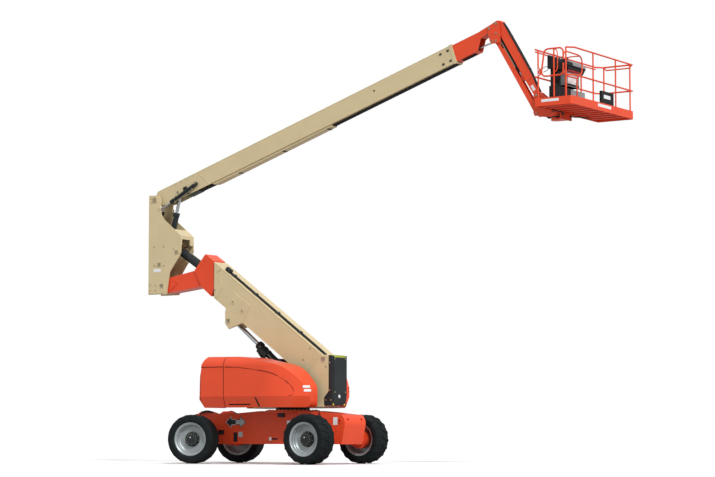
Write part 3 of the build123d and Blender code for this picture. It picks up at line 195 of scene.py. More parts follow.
def slope(angle):
    # turns a box's length up in the plane of the booms
    return Matrix.Rotation(-angle, 4, "Y")


def smoothPath(points, steps=8):
    # a rounded path through the points
    points = [Vector(p) for p in points]
    padded = [points[0]] + points + [points[-1]]
    path = []
    for i in range(1, len(padded) - 2):
        a, b, c, d = padded[i - 1], padded[i], padded[i + 1], padded[i + 2]
        for k in range(steps):
            u = k / steps
            path.append(0.5 * ((2 * b) + (c - a) * u + (2 * a - 5 * b + 4 * c - d) * u * u
                               + (3 * b - a - 3 * c + d) * u * u * u))
    path.append(points[-1])
    return path


def addHose(bm, points, radius, segments=8, steps=8):
    path = smoothPath(points, steps)
    rings = []
    side = None
    for i, point in enumerate(path):
        ahead = path[min(i + 1, len(path) - 1)] - path[max(i - 1, 0)]
        ahead.normalize()
        if side is None:
            side = ahead.orthogonal().normalized()
        side = (side - ahead * side.dot(ahead)).normalized()
        up = ahead.cross(side)
        rings.append([bm.verts.new(point + radius * (side * math.cos(a) + up * math.sin(a)))
                      for a in (2 * math.pi * k / segments for k in range(segments))])
    for first, second in zip(rings, rings[1:]):
        for k in range(segments):
            n = (k + 1) % segments
            bm.faces.new((first[k], first[n], second[n], second[k]))
    bm.faces.new(rings[0])
    bm.faces.new(list(reversed(rings[-1])))


# ---------------------------------------------------------------- wheels
wheelSpots = {}
for end in ("front", "rear"):
    for side in ("left", "right"):
        joint = next(j for j in frame["joints"] if j["name"] == f"wheel_{end}_{side}")
        centre = Vector(joint["pos_m"]) + Vector((lengthMiddle, 0, 0))
        axle = Vector(joint["axis"])
        if axle.dot(Vector((0, centre.y, 0))) < 0:
            axle = -axle
        wheelSpots[f"{end}_{side}"] = (centre, axle)

barTipR, barCount = 0.5045, 18
treadDeep, treadShallow, tyreFacets, wheelNuts, hubNuts = 0.4895, 0.4990, 96, 9, 12


def carcass(tread):
    # half section of the tyre: offset across, radius
    return [
        (0.000, tread), (0.090, tread), (0.150, tread - 0.0015), (0.185, tread - 0.006),
        (0.205, tread - 0.0155), (0.217, tread - 0.032), (0.2225, tread - 0.053), (0.2248, 0.4180),
        (0.2248, 0.4010),
        (0.2220, 0.3990), (0.2235, 0.3900), (0.2235, 0.3830), (0.2205, 0.3810), (0.2170, 0.3700),
        (0.2130, 0.3600), (0.2090, 0.3540),
        (0.2000, 0.3515), (0.1700, 0.3500), (0.1670, 0.3185),
    ]


def wheelMatrix(centre, axle):
    # local Y along the axle, local Z up
    x = axle.cross(Vector((0, 0, 1))).normalized()
    return Matrix.Translation(centre) @ Matrix((x, axle, Vector((0, 0, 1)))).transposed().to_4x4()


def addRevolved(bm, section, matrix, segments):
    # closed ring of a section given as offset along the axle, radius
    rings = []
    for offset, radius in section:
        rings.append([bm.verts.new(matrix @ Vector((radius * math.sin(a), offset, radius * math.cos(a))))
                      for a in (2 * math.pi * k / segments for k in range(segments))])
    for first, second in zip(rings, rings[1:] + rings[:1]):
        for k in range(segments):
            n = (k + 1) % segments
            bm.faces.new((first[k], first[n], second[n], second[k]))


def addSolid(bm, matrix, rings):
    # closed skin over a stack of rings with the same number of points
    made = [[bm.verts.new(matrix @ Vector(p)) for p in ring] for ring in rings]
    count = len(made[0])
    for first, second in zip(made, made[1:]):
        for k in range(count):
            n = (k + 1) % count
            bm.faces.new((first[k], first[n], second[n], second[k]))
    bm.faces.new(made[0])
    bm.faces.new(list(reversed(made[-1])))


def addBar(bm, matrix, side):
    # half a chevron bar: sections across the tread, from the middle out to the shoulder
    # across, lead along the tread, half width at the root, half width at the tip, tip radius
    sections = [
        (-0.006, -0.028, 0.030, 0.022, barTipR), (0.060, -0.013, 0.030, 0.021, barTipR),
        (0.120, 0.004, 0.031, 0.022, barTipR - 0.001), (0.163, 0.016, 0.032, 0.023, barTipR - 0.002),
        (0.203, 0.026, 0.032, 0.024, 0.4870), (0.217, 0.030, 0.031, 0.025, 0.4680),
        (0.2235, 0.032, 0.029, 0.025, 0.4480),
    ]
    rings = []
    for across, lead, root, tip, top in sections:
        base = min(0.462, top - 0.03) if across > 0.19 else 0.470
        rings.append([(lead - root, side * across, base), (lead - tip - 0.003, side * across, top - 0.006),
                      (lead - tip + 0.003, side * across, top), (lead + tip - 0.003, side * across, top),
                      (lead + tip + 0.003, side * across, top - 0.006), (lead + root, side * across, base)])
    addSolid(bm, matrix, rings)


for wheel, (centre, axle) in wheelSpots.items():
    place = wheelMatrix(centre, axle)
    tyre = bmesh.new()
    # the wheels ahead of the middle carry the deeper bars
    half = carcass(treadDeep if centre.x > 0 else treadShallow)
    section = half + [(-o, r) for o, r in reversed(half[1:])]
    addRevolved(tyre, section, place, tyreFacets)
    for side, start in ((-1, 0.0), (1, math.pi / barCount)):
        for k in range(barCount):
            addBar(tyre, place @ Matrix.Rotation(start + 2 * math.pi * k / barCount, 4, "Y"), side)
    for side in (-1, 1):
        for k in range(4 * barCount):
            turn = Matrix.Rotation(2 * math.pi * k / (4 * barCount), 4, "Y")
            addBox(tyre, (0, 0, 0), (1, 1, 1), place @ turn @ Matrix.Translation((0, side * 0.2226, 0.4185))
                   @ Matrix.Diagonal((0.004, 0.004, 0.012, 1)))
    piece = finishPiece(f"tread_{wheel}", tyre, tyreRubber, f"wheel_{wheel}")
    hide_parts(f"tyre_{wheel}")
    nuts = bmesh.new()
    for k in range(wheelNuts):
        turn = place @ Matrix.Rotation(2 * math.pi * (k + 0.5) / wheelNuts, 4, "Y")
        addRod(nuts, turn @ Vector((0, 0.066, 0.139)), turn @ Vector((0, 0.086, 0.139)), 0.011, 6)
    for k in range(hubNuts):
        turn = place @ Matrix.Rotation(2 * math.pi * k / hubNuts, 4, "Y")
        addRod(nuts, turn @ Vector((0, 0.105, 0.100)), turn @ Vector((0, 0.1235, 0.100)), 0.008, 6)
    finishPiece(f"wheel_nuts_{wheel}", nuts, boltSteel, f"wheel_{wheel}")
    valve = bmesh.new()
    addRod(valve, place @ Vector((0.02, 0.128, 0.035)), place @ Vector((0.02, 0.136, 0.035)), 0.012, 12)
    addRod(valve, place @ Vector((-0.19, 0.055, 0.19)), place @ Vector((-0.19, 0.100, 0.19)), 0.006, 8)
    finishPiece(f"hub_plug_{wheel}", valve, whitePlate, f"wheel_{wheel}")
print("wheels dressed")

# ---------------------------------------------------------------- pins' heads and keepers
pinHeads = [
    # body, X, Z, Y of the plate's face, radius of the collar
    ("upright", -2.87, 3.78, 0.235, 0.062),
    ("upright", -2.48, 4.50, 0.225, 0.055),
    ("upright", -3.09, 5.65, 0.225, 0.068),
    ("upright", -2.95, 4.25, 0.225, 0.055),
    ("turntable", 1.37, 2.13, 0.258, 0.07),
    ("turntable", 0.94, 1.35, 0.258, 0.065),
    ("tower_base", -1.07, 2.98, 0.235, 0.06),
    ("jib_knuckle", 5.23, 8.57, 0.115, 0.04),
    ("jib_knuckle", 5.39, 8.655, 0.115, 0.04),
    ("jib_knuckle", 5.388, 8.31, 0.115, 0.034),
    ("jib_knuckle", 5.39, 8.455, 0.115, 0.030),
    ("jib_knuckle", 5.29, 8.318, 0.115, 0.028),
]
collars = {}
keepers = {}
for body, x, z, y, radius in pinHeads:
    collars.setdefault(body, bmesh.new())
    keepers.setdefault(body, bmesh.new())
    for side in (-1, 1):
        addRod(collars[body], (x, side * y, z), (x, side * (y + 0.006), z), radius, 24)
        addBox(keepers[body], (x, side * (y + 0.0115), z + radius * 0.55),
               (radius * 1.5, 0.008, radius * 0.36))
        for step in (-0.55, 0.55):
            addRod(keepers[body], (x + step * radius, side * (y + 0.012), z + radius * 0.55),
                   (x + step * radius, side * (y + 0.021), z + radius * 0.55), radius * 0.13, 6)
for body in collars:
    collarPaint = tanPaint if body in ("upright", "turntable", "tower_base") else orangePaint
    finishPiece(f"{body}_pin_collars", collars[body], collarPaint, body)
    finishPiece(f"{body}_pin_keepers", keepers[body], boltSteel, body)
print("pins dressed")


# ---------------------------------------------------------------- bare plates and decals
def addPlate(bm, side, x0, x1, z0, z1, face, thickness=0.0025):
    # thin plate on a wall that faces left or right; face is the wall's distance from the middle
    addBox(bm, ((x0 + x1) / 2, side * (face + thickness / 2 - 0.0004), (z0 + z1) / 2),
           (x1 - x0, thickness, z1 - z0))


def addOutline(bm, side, points, face, thickness):
    # flat shape on a wall that faces left or right, from its corners as X, Z
    addSolid(bm, Matrix.Identity(4), [[(x, side * face, z) for x, z in points],
                                      [(x, side * (face + thickness), z) for x, z in points]])


chassisHalf = 0.38
whiteMarks = bmesh.new()
greyMarks = bmesh.new()
blackMarks = bmesh.new()
for side in (-1, 1):
    # white, grey and black plates: X from, X to, Z from, Z to
    for x0, x1, z0, z1 in ((0.103, 0.160, 0.475, 0.550), (0.553, 0.647, 0.766, 0.888),
                           (1.700, 1.805, 0.795, 0.950)):
        addPlate(whiteMarks, side, x0, x1, z0, z1, chassisHalf)
    addPlate(greyMarks, side, -0.686, -0.577, 0.550, 0.658, chassisHalf)
    # two-way arrow: half black edged with grey, half grey edged with black
    middle, z = -0.756, 0.858
    for way, inner, outer in ((-1, blackMarks, greyMarks), (1, greyMarks, blackMarks)):
        for bm, grow, face in ((outer, 0.013, chassisHalf - 0.0004), (inner, 0.0, chassisHalf + 0.0008)):
            neck = middle + way * (0.118 - grow)
            addOutline(bm, side, [
                (middle, z + 0.045 + grow), (neck, z + 0.045 + grow), (neck, z + 0.105 + grow * 1.6),
                (middle + way * (0.250 + grow * 1.6), z), (neck, z - 0.105 - grow * 1.6),
                (neck, z - 0.045 - grow), (middle, z - 0.045 - grow)], face, 0.0012)
finishPiece("chassis_white_plates", whiteMarks, whitePlate, "chassis")
finishPiece("chassis_grey_marks", greyMarks, greyPlate, "chassis")
finishPiece("chassis_black_marks", blackMarks, blackPaint, "chassis")

# black sheets just inside the chassis side openings: painted shade of the hollow box behind them
pocketShade = bmesh.new()
for side in (-1, 1):
    for x, z, length, height in ((-1.14, 0.648, 0.22, 0.15), (-0.765, 0.549, 0.16, 0.23),
                                 (0.247, 0.512, 0.20, 0.08)):
        addBox(pocketShade, (x, side * 0.358, z), (length, 0.006, height))
finishPiece("chassis_pocket_shade", pocketShade, blackPaint, "chassis")

welds = bmesh.new()
for side in (-1, 1):
    addRod(welds, (-1.80, side * 0.3805, 0.43), (1.80, side * 0.3805, 0.43), 0.004, 6)
    addRod(welds, (-0.70, side * 0.3805, 1.028), (-0.12, side * 0.3805, 1.068), 0.004, 6)
    addRod(welds, (1.775, side * 0.3805, 0.66), (1.84, side * 0.3805, 0.705), 0.006, 6)
    addRod(welds, (1.812, side * 0.3805, 0.44), (1.812, side * 0.3805, 0.97), 0.004, 6)
finishPiece("chassis_welds", welds, orangePaint, "chassis")

hoses = bmesh.new()
for side in (-1, 1):
    for k, lift in enumerate((0.0, 0.028, 0.056)):
        addHose(hoses, [(-1.30 + 0.02 * k, side * 0.34, 1.04), (-1.48, side * 0.42, 1.075 + lift * 0.4),
                        (-1.64, side * 0.43, 1.02 + lift * 0.3), (-1.68 + 0.02 * k, side * 0.44, 0.86),
                        (-1.62, side * 0.44, 0.64)], 0.011)
    addHose(hoses, [(1.30, side * 0.34, 1.05), (1.45, side * 0.50, 1.01), (1.52, side * 0.62, 0.86),
                    (1.53, side * 0.66, 0.66)], 0.011)
finishPiece("chassis_hoses", hoses, hoseRubber, "chassis")

ringMiddle, ringBoltR, ringBoltCount = 0.43, 0.50, 36
ringBolts = bmesh.new()
for k in range(ringBoltCount):
    a = 2 * math.pi * k / ringBoltCount
    spot = Vector((ringMiddle + ringBoltR * math.cos(a), ringBoltR * math.sin(a), 1.100))
    addRod(ringBolts, spot, spot + Vector((0, 0, 0.014)), 0.011, 6)
finishPiece("ring_bolts", ringBolts, boltSteel, "chassis")
print("chassis dressed")

# ---------------------------------------------------------------- turntable, covers and counterweight
boltsDark = bmesh.new()
for side in (-1, 1):
    for x, z in ((1.44, 1.30), (1.56, 1.30), (1.53, 1.50), (1.53, 2.06), (1.44, 1.98)):
        addRod(boltsDark, (x, side * 0.258, z), (x, side * 0.270, z), 0.017, 6)
for y in (-0.19, 0.19):
    for z in (1.46, 2.14):
        addRod(boltsDark, (1.600, y, z), (1.612, y, z), 0.017, 6)
finishPiece("counterweight_bolts", boltsDark, boltSteel, "turntable")
tailPanel = bmesh.new()
addBox(tailPanel, (1.604, 0, 1.80), (0.012, 0.42, 0.74))
addBox(tailPanel, (1.590, 0, 1.29), (0.010, 0.40, 0.13), slope(math.radians(-8)))
finishPiece("tail_panel", tailPanel, blackPaint, "turntable")
tailMarks = bmesh.new()
addRod(tailMarks, (1.600, -0.02, 1.375), (1.606, -0.02, 1.375), 0.034, 20)
finishPiece("tail_round_mark", tailMarks, whitePlate, "turntable")
tailStrip = bmesh.new()
addBox(tailStrip, (1.550, 0, 2.2105), (0.080, 0.40, 0.006), slope(math.radians(-9)))
addBox(tailStrip, (1.602, 0, 2.165), (0.006, 0.40, 0.050))
finishPiece("tail_strip", tailStrip, greenPlate, "turntable")
reflectors = bmesh.new()
for y in (-0.20, 0.20):
    addRod(reflectors, (1.576, y, 1.215), (1.582, y, 1.215), 0.020, 20)
finishPiece("tail_reflectors", reflectors, yellowPlate, "turntable")

turntableHoses = bmesh.new()
for k, y in enumerate((-0.17, -0.13, -0.09, 0.09, 0.13, 0.17)):
    addHose(turntableHoses, [(0.30 + 0.03 * k, y, 1.19), (0.36, y, 1.28), (0.52, y * 1.05, 1.33),
                             (0.70, y * 1.1, 1.29), (0.80, y * 1.1, 1.19)], 0.012)
finishPiece("turntable_hoses", turntableHoses, hoseRubber, "turntable")

# finger slots with black painted shade sheets behind them, straps, seams, painted shade lines along the creases
# and bare labels on the side covers
# the skirt below the side of a hood: distance from the middle at its top, top height, inward slope
skirtFace, skirtTop, skirtSlope = 1.1612, 1.38, 0.362
hoodDark = {"engine_hood": bmesh.new(), "tank_hood": bmesh.new()}
for body, side in (("engine_hood", -1), ("tank_hood", 1)):
    # black sheet inside the finger slot: painted shade of the hollow behind the slot
    addBox(hoodDark[body], (-0.12, side * 1.085, 1.212), (0.60, 0.006, 0.05))
    # rubber strap latch over the lower edge
    strap = [(0.300, 1.352), (0.336, 1.352), (0.396, 1.168), (0.356, 1.168)]
    addSolid(hoodDark[body], Matrix.Identity(4), [
        [(x, side * (skirtFace - (skirtTop - z) * skirtSlope + proud), z) for x, z in strap]
        for proud in (-0.002, 0.012)])

bpy.context.view_layer.update()


def onCover(name, x, z, side):
    # the cover's outer face at this length and height
    node = frame["nodes"][name]
    back = node.matrix_world.inverted()
    start = back @ Vector((x - lengthMiddle, side * 3.0, z))
    hit, place, normal, face = node.ray_cast(start, (back.to_3x3() @ Vector((0, -side, 0))).normalized())
    if not hit:
        return None, None
    return (node.matrix_world @ place + Vector((lengthMiddle, 0, 0)),
            (node.matrix_world.to_3x3() @ normal).normalized())


def addSeamAndCreaseShade(bm, name, side, line, radius):
    # thin dark line along a cover, sunk so that a little over half of it stands out; at a panel joint it is the
    # joint's dark colour, along the crease it is painted shade
    spots = [onCover(name, x, z, side) for x, z in line]
    spots = [place - normal * radius * 0.45 for place, normal in spots if place is not None]
    for a, b in zip(spots, spots[1:]):
        if 0.001 < (b - a).length < 0.25:
            addRod(bm, a, b, radius, 8)


coverOf = {"engine_hood": "engine_end_cover", "tank_hood": "tank_end_cover"}
creaseLine = [(p.x, p.y) for p in smoothPath([
    (-1.16, 1.984, 0), (-0.80, 1.984, 0), (-0.31, 1.978, 0), (0.337, 1.913, 0), (0.622, 1.863, 0),
    (0.808, 1.795, 0), (1.027, 1.637, 0), (1.118, 1.475, 0), (1.092, 1.402, 0),
    (1.030, 1.384, 0)], 8)]
# lengths of the upright seams, and heights that a seam is followed through
hoodSeamX, coverSeamX = -0.488, -1.08
seamHeights = [1.150 + 0.035 * k for k in range(30)]
for body, side in (("engine_hood", -1), ("tank_hood", 1)):
    seams_and_crease_shade = bmesh.new()
    # painted shade line along the crease of the side
    addSeamAndCreaseShade(seams_and_crease_shade, body, side, creaseLine, 0.007)
    addSeamAndCreaseShade(seams_and_crease_shade, body, side, [(hoodSeamX, z) for z in seamHeights], 0.007)
    finishPiece(f"{body}_seams", seams_and_crease_shade, seamShade, body)
    fixed = bmesh.new()
    # painted shade line along the crease, carried on over the fixed end cover
    addSeamAndCreaseShade(fixed, coverOf[body], side, creaseLine, 0.007)
    addSeamAndCreaseShade(fixed, coverOf[body], side, [(coverSeamX, z) for z in seamHeights], 0.006)
    finishPiece(f"{coverOf[body]}_seams", fixed, seamShade, "turntable")
    labels = bmesh.new()
    for x, z in ((1.310, 1.566), (1.325, 1.490)):
        place, normal = onCover(body, x, z, side)
        if place is None:
            continue
        turn = normal.to_track_quat("Y", "Z").to_matrix().to_4x4()
        addBox(labels, place - normal * 0.001, (0.15, 0.010, 0.050), turn)
    finishPiece(f"{body}_labels", labels, whitePlate, body)
# strap latches, together with the painted shade sheets inside the finger slots
finishPiece("engine_hood_strap_and_slot_shade", hoodDark["engine_hood"], blackPlastic, "engine_hood")
finishPiece("tank_hood_strap_and_slot_shade", hoodDark["tank_hood"], blackPlastic, "tank_hood")

# ---------------------------------------------------------------- tower boom
towerWelds = bmesh.new()
towerHalf = 0.225
for side in (-1, 1):
    y = side * (towerHalf + 0.0005)
    addRod(towerWelds, alongTower(0.25, 0.036, y), alongTower(3.50, 0.036, y), 0.005, 6)
    addRod(towerWelds, alongTower(0.25, -0.566, y), alongTower(2.13, -0.566, y), 0.005, 6)
    addRod(towerWelds, alongTower(2.757, -0.178, y), alongTower(2.194, -0.175, y), 0.005, 6)
    addRod(towerWelds, alongTower(2.194, -0.175, y), alongTower(2.144, -0.562, y), 0.005, 6)
    addRod(towerWelds, alongTower(2.757, -0.178, y), alongTower(2.69, -0.566, y), 0.005, 6)
finishPiece("tower_welds", towerWelds, tanPaint, "tower_base")

towerSteel = bmesh.new()
for side in (-1, 1):
    for s, t in ((2.612, -0.355), (2.305, -0.367)):
        addRod(towerSteel, alongTower(s, t, side * 0.243), alongTower(s, t, side * 0.251), 0.022, 6)
    for s, t in ((0.42, -0.02), (0.42, -0.30), (3.30, -0.02), (3.16, -0.42)):
        addRod(towerSteel, alongTower(s, t, side * 0.233 if s > 3 else side * 0.225),
               alongTower(s, t, side * 0.243 if s > 3 else side * 0.236), 0.016, 6)
finishPiece("tower_bolts", towerSteel, boltSteel, "tower_base")

towerTop = bmesh.new()
turn = slope(math.pi - towerAngle)
for s in (0.9, 1.6, 2.3, 3.0):
    addBox(towerTop, alongTower(s, 0.060, -0.10), (0.05, 0.13, 0.035), turn)
addBox(towerTop, alongTower(3.16, 0.085, -0.13), (0.14, 0.09, 0.085), turn)
finishPiece("tower_hose_clamps", towerTop, blackPaint, "tower_base")
towerHoses = bmesh.new()
for k, y in enumerate((-0.145, -0.118, -0.091, -0.064)):
    addHose(towerHoses, [alongTower(0.10, 0.055, y), alongTower(0.5, 0.060, y), alongTower(1.9, 0.060, y),
                         alongTower(3.2, 0.060, y)], 0.011)
finishPiece("tower_hoses", towerHoses, hoseRubber, "tower_base")


slaveFoot = alongBoom(7.950, -0.060, 0)
slaveBase = (slaveFoot.x, slaveFoot.z)
jibEye = alongJib(1.250, -0.100, 0)
jibLiftEye = (jibEye.x, jibEye.z)


def cylinderDress(name, body, base, end, radius, length, y, port):
    # gland rings, ports and feed pipe of a cylinder: base and end as X, Z; port as its lean away and aside
    base, end = Vector((base[0], y, base[1])), Vector((end[0], y, end[1]))
    along = (end - base).normalized()
    up = Vector((0, -1, 0)).cross(along)
    side = Vector((0, -1, 0))
    out = (up * port[0] + side * port[1]).normalized()
    bm = bmesh.new()
    addRod(bm, base + along * (length - 0.012), base + along * (length + 0.006), radius * 1.2, 28)
    addRod(bm, base + along * (length - 0.075), base + along * (length - 0.066), radius * 1.19, 28)
    addRod(bm, base + along * (radius + 0.05), base + along * (radius + 0.075), radius * 1.05, 28)
    finishPiece(f"{name}_rings", bm, blackPaint, body)
    fittings = bmesh.new()
    for s in (radius + 0.10, length - 0.10):
        spot = base + along * s + out * radius
        addRod(fittings, spot - out * 0.01, spot + out * 0.018, radius * 0.22 + 0.006, 6)
        addRod(fittings, spot + out * 0.018, spot + out * 0.034, radius * 0.12 + 0.005, 10)
    first = base + along * (radius + 0.10) + out * (radius + 0.020)
    last = base + along * (length - 0.10) + out * (radius + 0.020)
    addRod(fittings, first, last, 0.008, 8)
    finishPiece(f"{name}_fittings", fittings, pinSteel, body)


liftFoot, liftEye = (0.940, 1.350), (-1.070, 2.980)
cylinderDress("tower_lift", "tower_lift_barrel", liftFoot, liftEye, 0.075, 1.780, 0, (-0.2, 1.0))
# valve block and hoses at the head of the tower's lift cylinder
liftAlong = Vector((-2.010, 0, 1.630)).normalized()
liftOut = Vector((0, -1, 0)).cross(liftAlong)
liftBase = Vector((liftFoot[0], 0, liftFoot[1]))
liftTurn = slope(math.pi - math.atan2(1.630, 2.010))
headBlock = bmesh.new()
addBox(headBlock, liftBase + liftAlong * 1.62 + liftOut * 0.085, (0.20, 0.13, 0.07), liftTurn)
addBox(headBlock, liftBase + liftAlong * 1.56 + liftOut * 0.02 + Vector((0, -0.095, 0)),
       (0.24, 0.05, 0.10), liftTurn)
for s, radius in ((1.700, 0.096), (1.560, 0.086), (1.440, 0.082)):
    addRod(headBlock, liftBase + liftAlong * s, liftBase + liftAlong * (s + 0.055), radius, 28)
finishPiece("tower_lift_head_block", headBlock, blackPaint, "tower_lift_barrel")
headHoses = bmesh.new()
for k in range(5):
    y = -0.115 + 0.030 * k
    low = 0.098 + 0.010 * (k % 2)
    points = [liftBase + liftAlong * s + liftOut * t + Vector((0, y, 0))
              for s, t in ((1.66, low - 0.02), (1.50, low + 0.015), (1.25, low), (0.95, low - 0.012),
                           (0.62, low - 0.020))]
    addHose(headHoses, points, 0.015)
finishPiece("tower_lift_head_hoses", headHoses, hoseRubber, "tower_lift_barrel")
cylinderDress("level", "level_barrel", (-2.480, 4.500), (-0.993, 3.544), 0.090, 1.150, 0, (0.9, 0.2))
cylinderDress("main_lift", "main_lift_barrel", (-2.950, 4.250), (-2.550, 5.800), 0.065, 1.150, 0, (0.1, 1.0))
cylinderDress("master", "master_barrel", (-2.020, 5.950), (-2.960, 5.450), 0.038, 0.760, -0.16, (0.9, 0.2))
cylinderDress("slave", "slave_barrel", slaveBase, (5.290, 8.318), 0.035, 0.480, 0, (0.3, 1.0))
cylinderDress("jib_lift", "jib_lift_barrel", (5.390, 8.455), jibLiftEye, 0.035, 0.900, 0, (-0.3, 1.0))
print("tower dressed")

# ---------------------------------------------------------------- head and upright
headWelds = bmesh.new()
for side in (-1, 1):
    y = side * 0.2055
    addRod(headWelds, (-1.712, y, 4.405), (-1.508, y, 4.262), 0.005, 6)
    addRod(headWelds, (-1.500, y, 4.250), (-1.490, y, 3.705), 0.005, 6)
    for a, b in (((-2.641, 3.931), (-2.487, 3.834)), ((-2.487, 3.834), (-2.715, 3.650))):
        addRod(headWelds, (a[0], side * 0.1835, a[1]), (b[0], side * 0.1835, b[1]), 0.006, 6)
finishPiece("head_welds", headWelds, orangePaint, "tower_fly")

uprightSteel = bmesh.new()
uprightTan = bmesh.new()
uprightWhite = bmesh.new()
for side in (-1, 1):
    # plugs and bolts: X, Z, radius, height, face
    for x, z, radius, height, face in (
        (-3.089, 4.635, 0.016, 0.006, 0.225), (-2.833, 4.633, 0.016, 0.006, 0.225),
        (-3.088, 4.231, 0.016, 0.006, 0.225), (-2.824, 4.218, 0.016, 0.006, 0.225),
        (-3.191, 5.686, 0.012, 0.010, 0.225), (-3.098, 5.720, 0.012, 0.010, 0.225),
        (-3.165, 5.600, 0.012, 0.010, 0.225), (-3.030, 5.610, 0.012, 0.010, 0.225),
        (-3.188, 3.817, 0.014, 0.010, 0.235), (-3.048, 3.806, 0.014, 0.010, 0.235),
        (-3.046, 3.696, 0.014, 0.010, 0.235), (-3.188, 3.700, 0.014, 0.010, 0.235),
        (-2.562, 4.570, 0.012, 0.010, 0.225), (-2.410, 4.470, 0.012, 0.010, 0.225),
    ):
        addRod(uprightSteel, (x, side * face, z), (x, side * (face + height), z), radius,
               6 if height > 0.008 else 16)
    for a, b in (((-3.088, 4.231), (-2.824, 4.218)), ((-3.235, 3.943), (-2.86, 3.943)),
                 ((-2.799, 3.88), (-2.799, 3.66))):
        addRod(uprightTan, (a[0], side * 0.2258, a[1]), (b[0], side * 0.2258, b[1]), 0.006, 6)
    addPlate(uprightWhite, side, -3.109, -2.914, 4.090, 4.160, 0.225)
finishPiece("upright_bolts", uprightSteel, boltSteel, "upright")
finishPiece("upright_welds", uprightTan, tanPaint, "upright")
finishPiece("upright_plates", uprightWhite, whitePlate, "upright")

uprightHoses = bmesh.new()
for y in [-0.15 + 0.035 * k for k in range(4)] + [0.05 + 0.035 * k for k in range(3)]:
    addHose(uprightHoses, [(-3.19, y, 4.05), (-3.20, y, 4.6), (-3.19, y, 5.20), (-3.10, y, 5.42)], 0.011)
addHose(uprightHoses, [(-2.42, -0.10, 4.72), (-2.34, -0.12, 4.76), (-2.30, -0.06, 4.62),
                       (-2.44, -0.05, 4.60)], 0.009)
finishPiece("upright_hoses", uprightHoses, hoseRubber, "upright")
print("upright dressed")

# ---------------------------------------------------------------- main boom
boomHalf = 0.115
boomWelds = bmesh.new()
for side in (-1, 1):
    y = side * (boomHalf + 0.0004)
    addRod(boomWelds, alongBoom(1.18, 0.188, y), alongBoom(1.43, -0.186, y), 0.006, 6)
    addRod(boomWelds, alongBoom(0.10, 0.184, y), alongBoom(7.90, 0.184, y), 0.004, 6)
    addRod(boomWelds, alongBoom(0.35, -0.182, y), alongBoom(7.90, -0.182, y), 0.004, 6)
finishPiece("boom_welds", boomWelds, tanPaint, "main_base")

turn = slope(boomAngle)
boomDark = bmesh.new()
# clamp block and bracket under the boom root, wear-pad heads, hose clamps over the top
addBox(boomDark, alongBoom(0.95, -0.196, 0.0), (0.30, 0.19, 0.016), turn)
for s in (7.62, 7.80):
    for t in (-0.11, 0.11):
        for side in (-1, 1):
            addBox(boomDark, alongBoom(s, t, side * 0.1165), (0.060, 0.004, 0.045), turn)
for s in (2.2, 3.4, 4.6, 5.8, 7.0):
    addBox(boomDark, alongBoom(s, -0.192 if s > 4.8 else -0.235, 0.0), (0.035, 0.14, 0.012), turn)
addRod(boomDark, alongBoom(5.93, 0.045, -0.1152), alongBoom(5.93, 0.045, -0.1180), 0.020, 16)
finishPiece("boom_clamps", boomDark, blackPaint, "main_base")
boomBolts = bmesh.new()
for s in (7.60, 7.64, 7.78, 7.82):
    for t in (-0.11, 0.11):
        for side in (-1, 1):
            addRod(boomBolts, alongBoom(s, t, side * 0.118), alongBoom(s, t, side * 0.126), 0.009, 6)
for s in (0.55, 0.72, 0.89, 1.06):
    for side in (-1, 1):
        addRod(boomBolts, alongBoom(s, 0.150, side * 0.115), alongBoom(s, 0.150, side * 0.122), 0.009, 6)
finishPiece("boom_bolts", boomBolts, boltSteel, "main_base")

collar = bmesh.new()
collarAt = 7.885
for t in (0.196, -0.194):
    addBox(collar, alongBoom(collarAt, t, 0.0), (0.070, 0.242, 0.012), turn)
for side in (-1, 1):
    addBox(collar, alongBoom(collarAt, 0.001, side * 0.118), (0.070, 0.007, 0.388), turn)
finishPiece("boom_end_collar", collar, tanPaint, "main_base")

boomHoses = bmesh.new()
for k in range(5):
    y = -0.06 + 0.03 * k
    addHose(boomHoses, [alongBoom(0.62, -0.12, y), alongBoom(1.00, -0.185, y),
                        alongBoom(1.50, -0.205, y)], 0.010)
    addHose(boomHoses, [alongBoom(4.72, -0.210, y), alongBoom(4.95, -0.205, y), alongBoom(7.55, -0.202, y),
                        alongBoom(7.88, -0.202, y)], 0.010)
finishPiece("boom_hoses", boomHoses, hoseRubber, "main_base")

masterFittings = bmesh.new()
addBox(masterFittings, alongBoom(0.78, -0.045, -0.122), (0.10, 0.014, 0.11), turn)
addHose(masterFittings, [alongBoom(0.50, -0.10, -0.15), alongBoom(0.58, -0.16, -0.15),
                         alongBoom(0.76, -0.15, -0.14), alongBoom(0.98, -0.196, -0.07)], 0.008)
finishPiece("master_hoses", masterFittings, hoseRubber, "main_base")
print("main boom dressed")

# ---------------------------------------------------------------- inner boom, knuckle and jib
flyBits = bmesh.new()
for side in (-1, 1):
    y = side * 0.1012
    addRod(flyBits, alongBoom(7.96, 0.170, y), alongBoom(8.54, 0.170, y), 0.003, 6)
    addRod(flyBits, alongBoom(7.96, -0.168, y), alongBoom(8.42, -0.168, y), 0.003, 6)
finishPiece("fly_welds", flyBits, orangePaint, "main_fly")
flyHoses = bmesh.new()
for k in range(4):
    y = -0.045 + 0.03 * k
    addHose(flyHoses, [alongBoom(8.00, -0.174, y), alongBoom(8.12, -0.184, y), alongBoom(8.24, -0.184, y),
                       alongBoom(8.34, -0.172, y)], 0.009)
finishPiece("fly_hoses", flyHoses, hoseRubber, "main_fly")

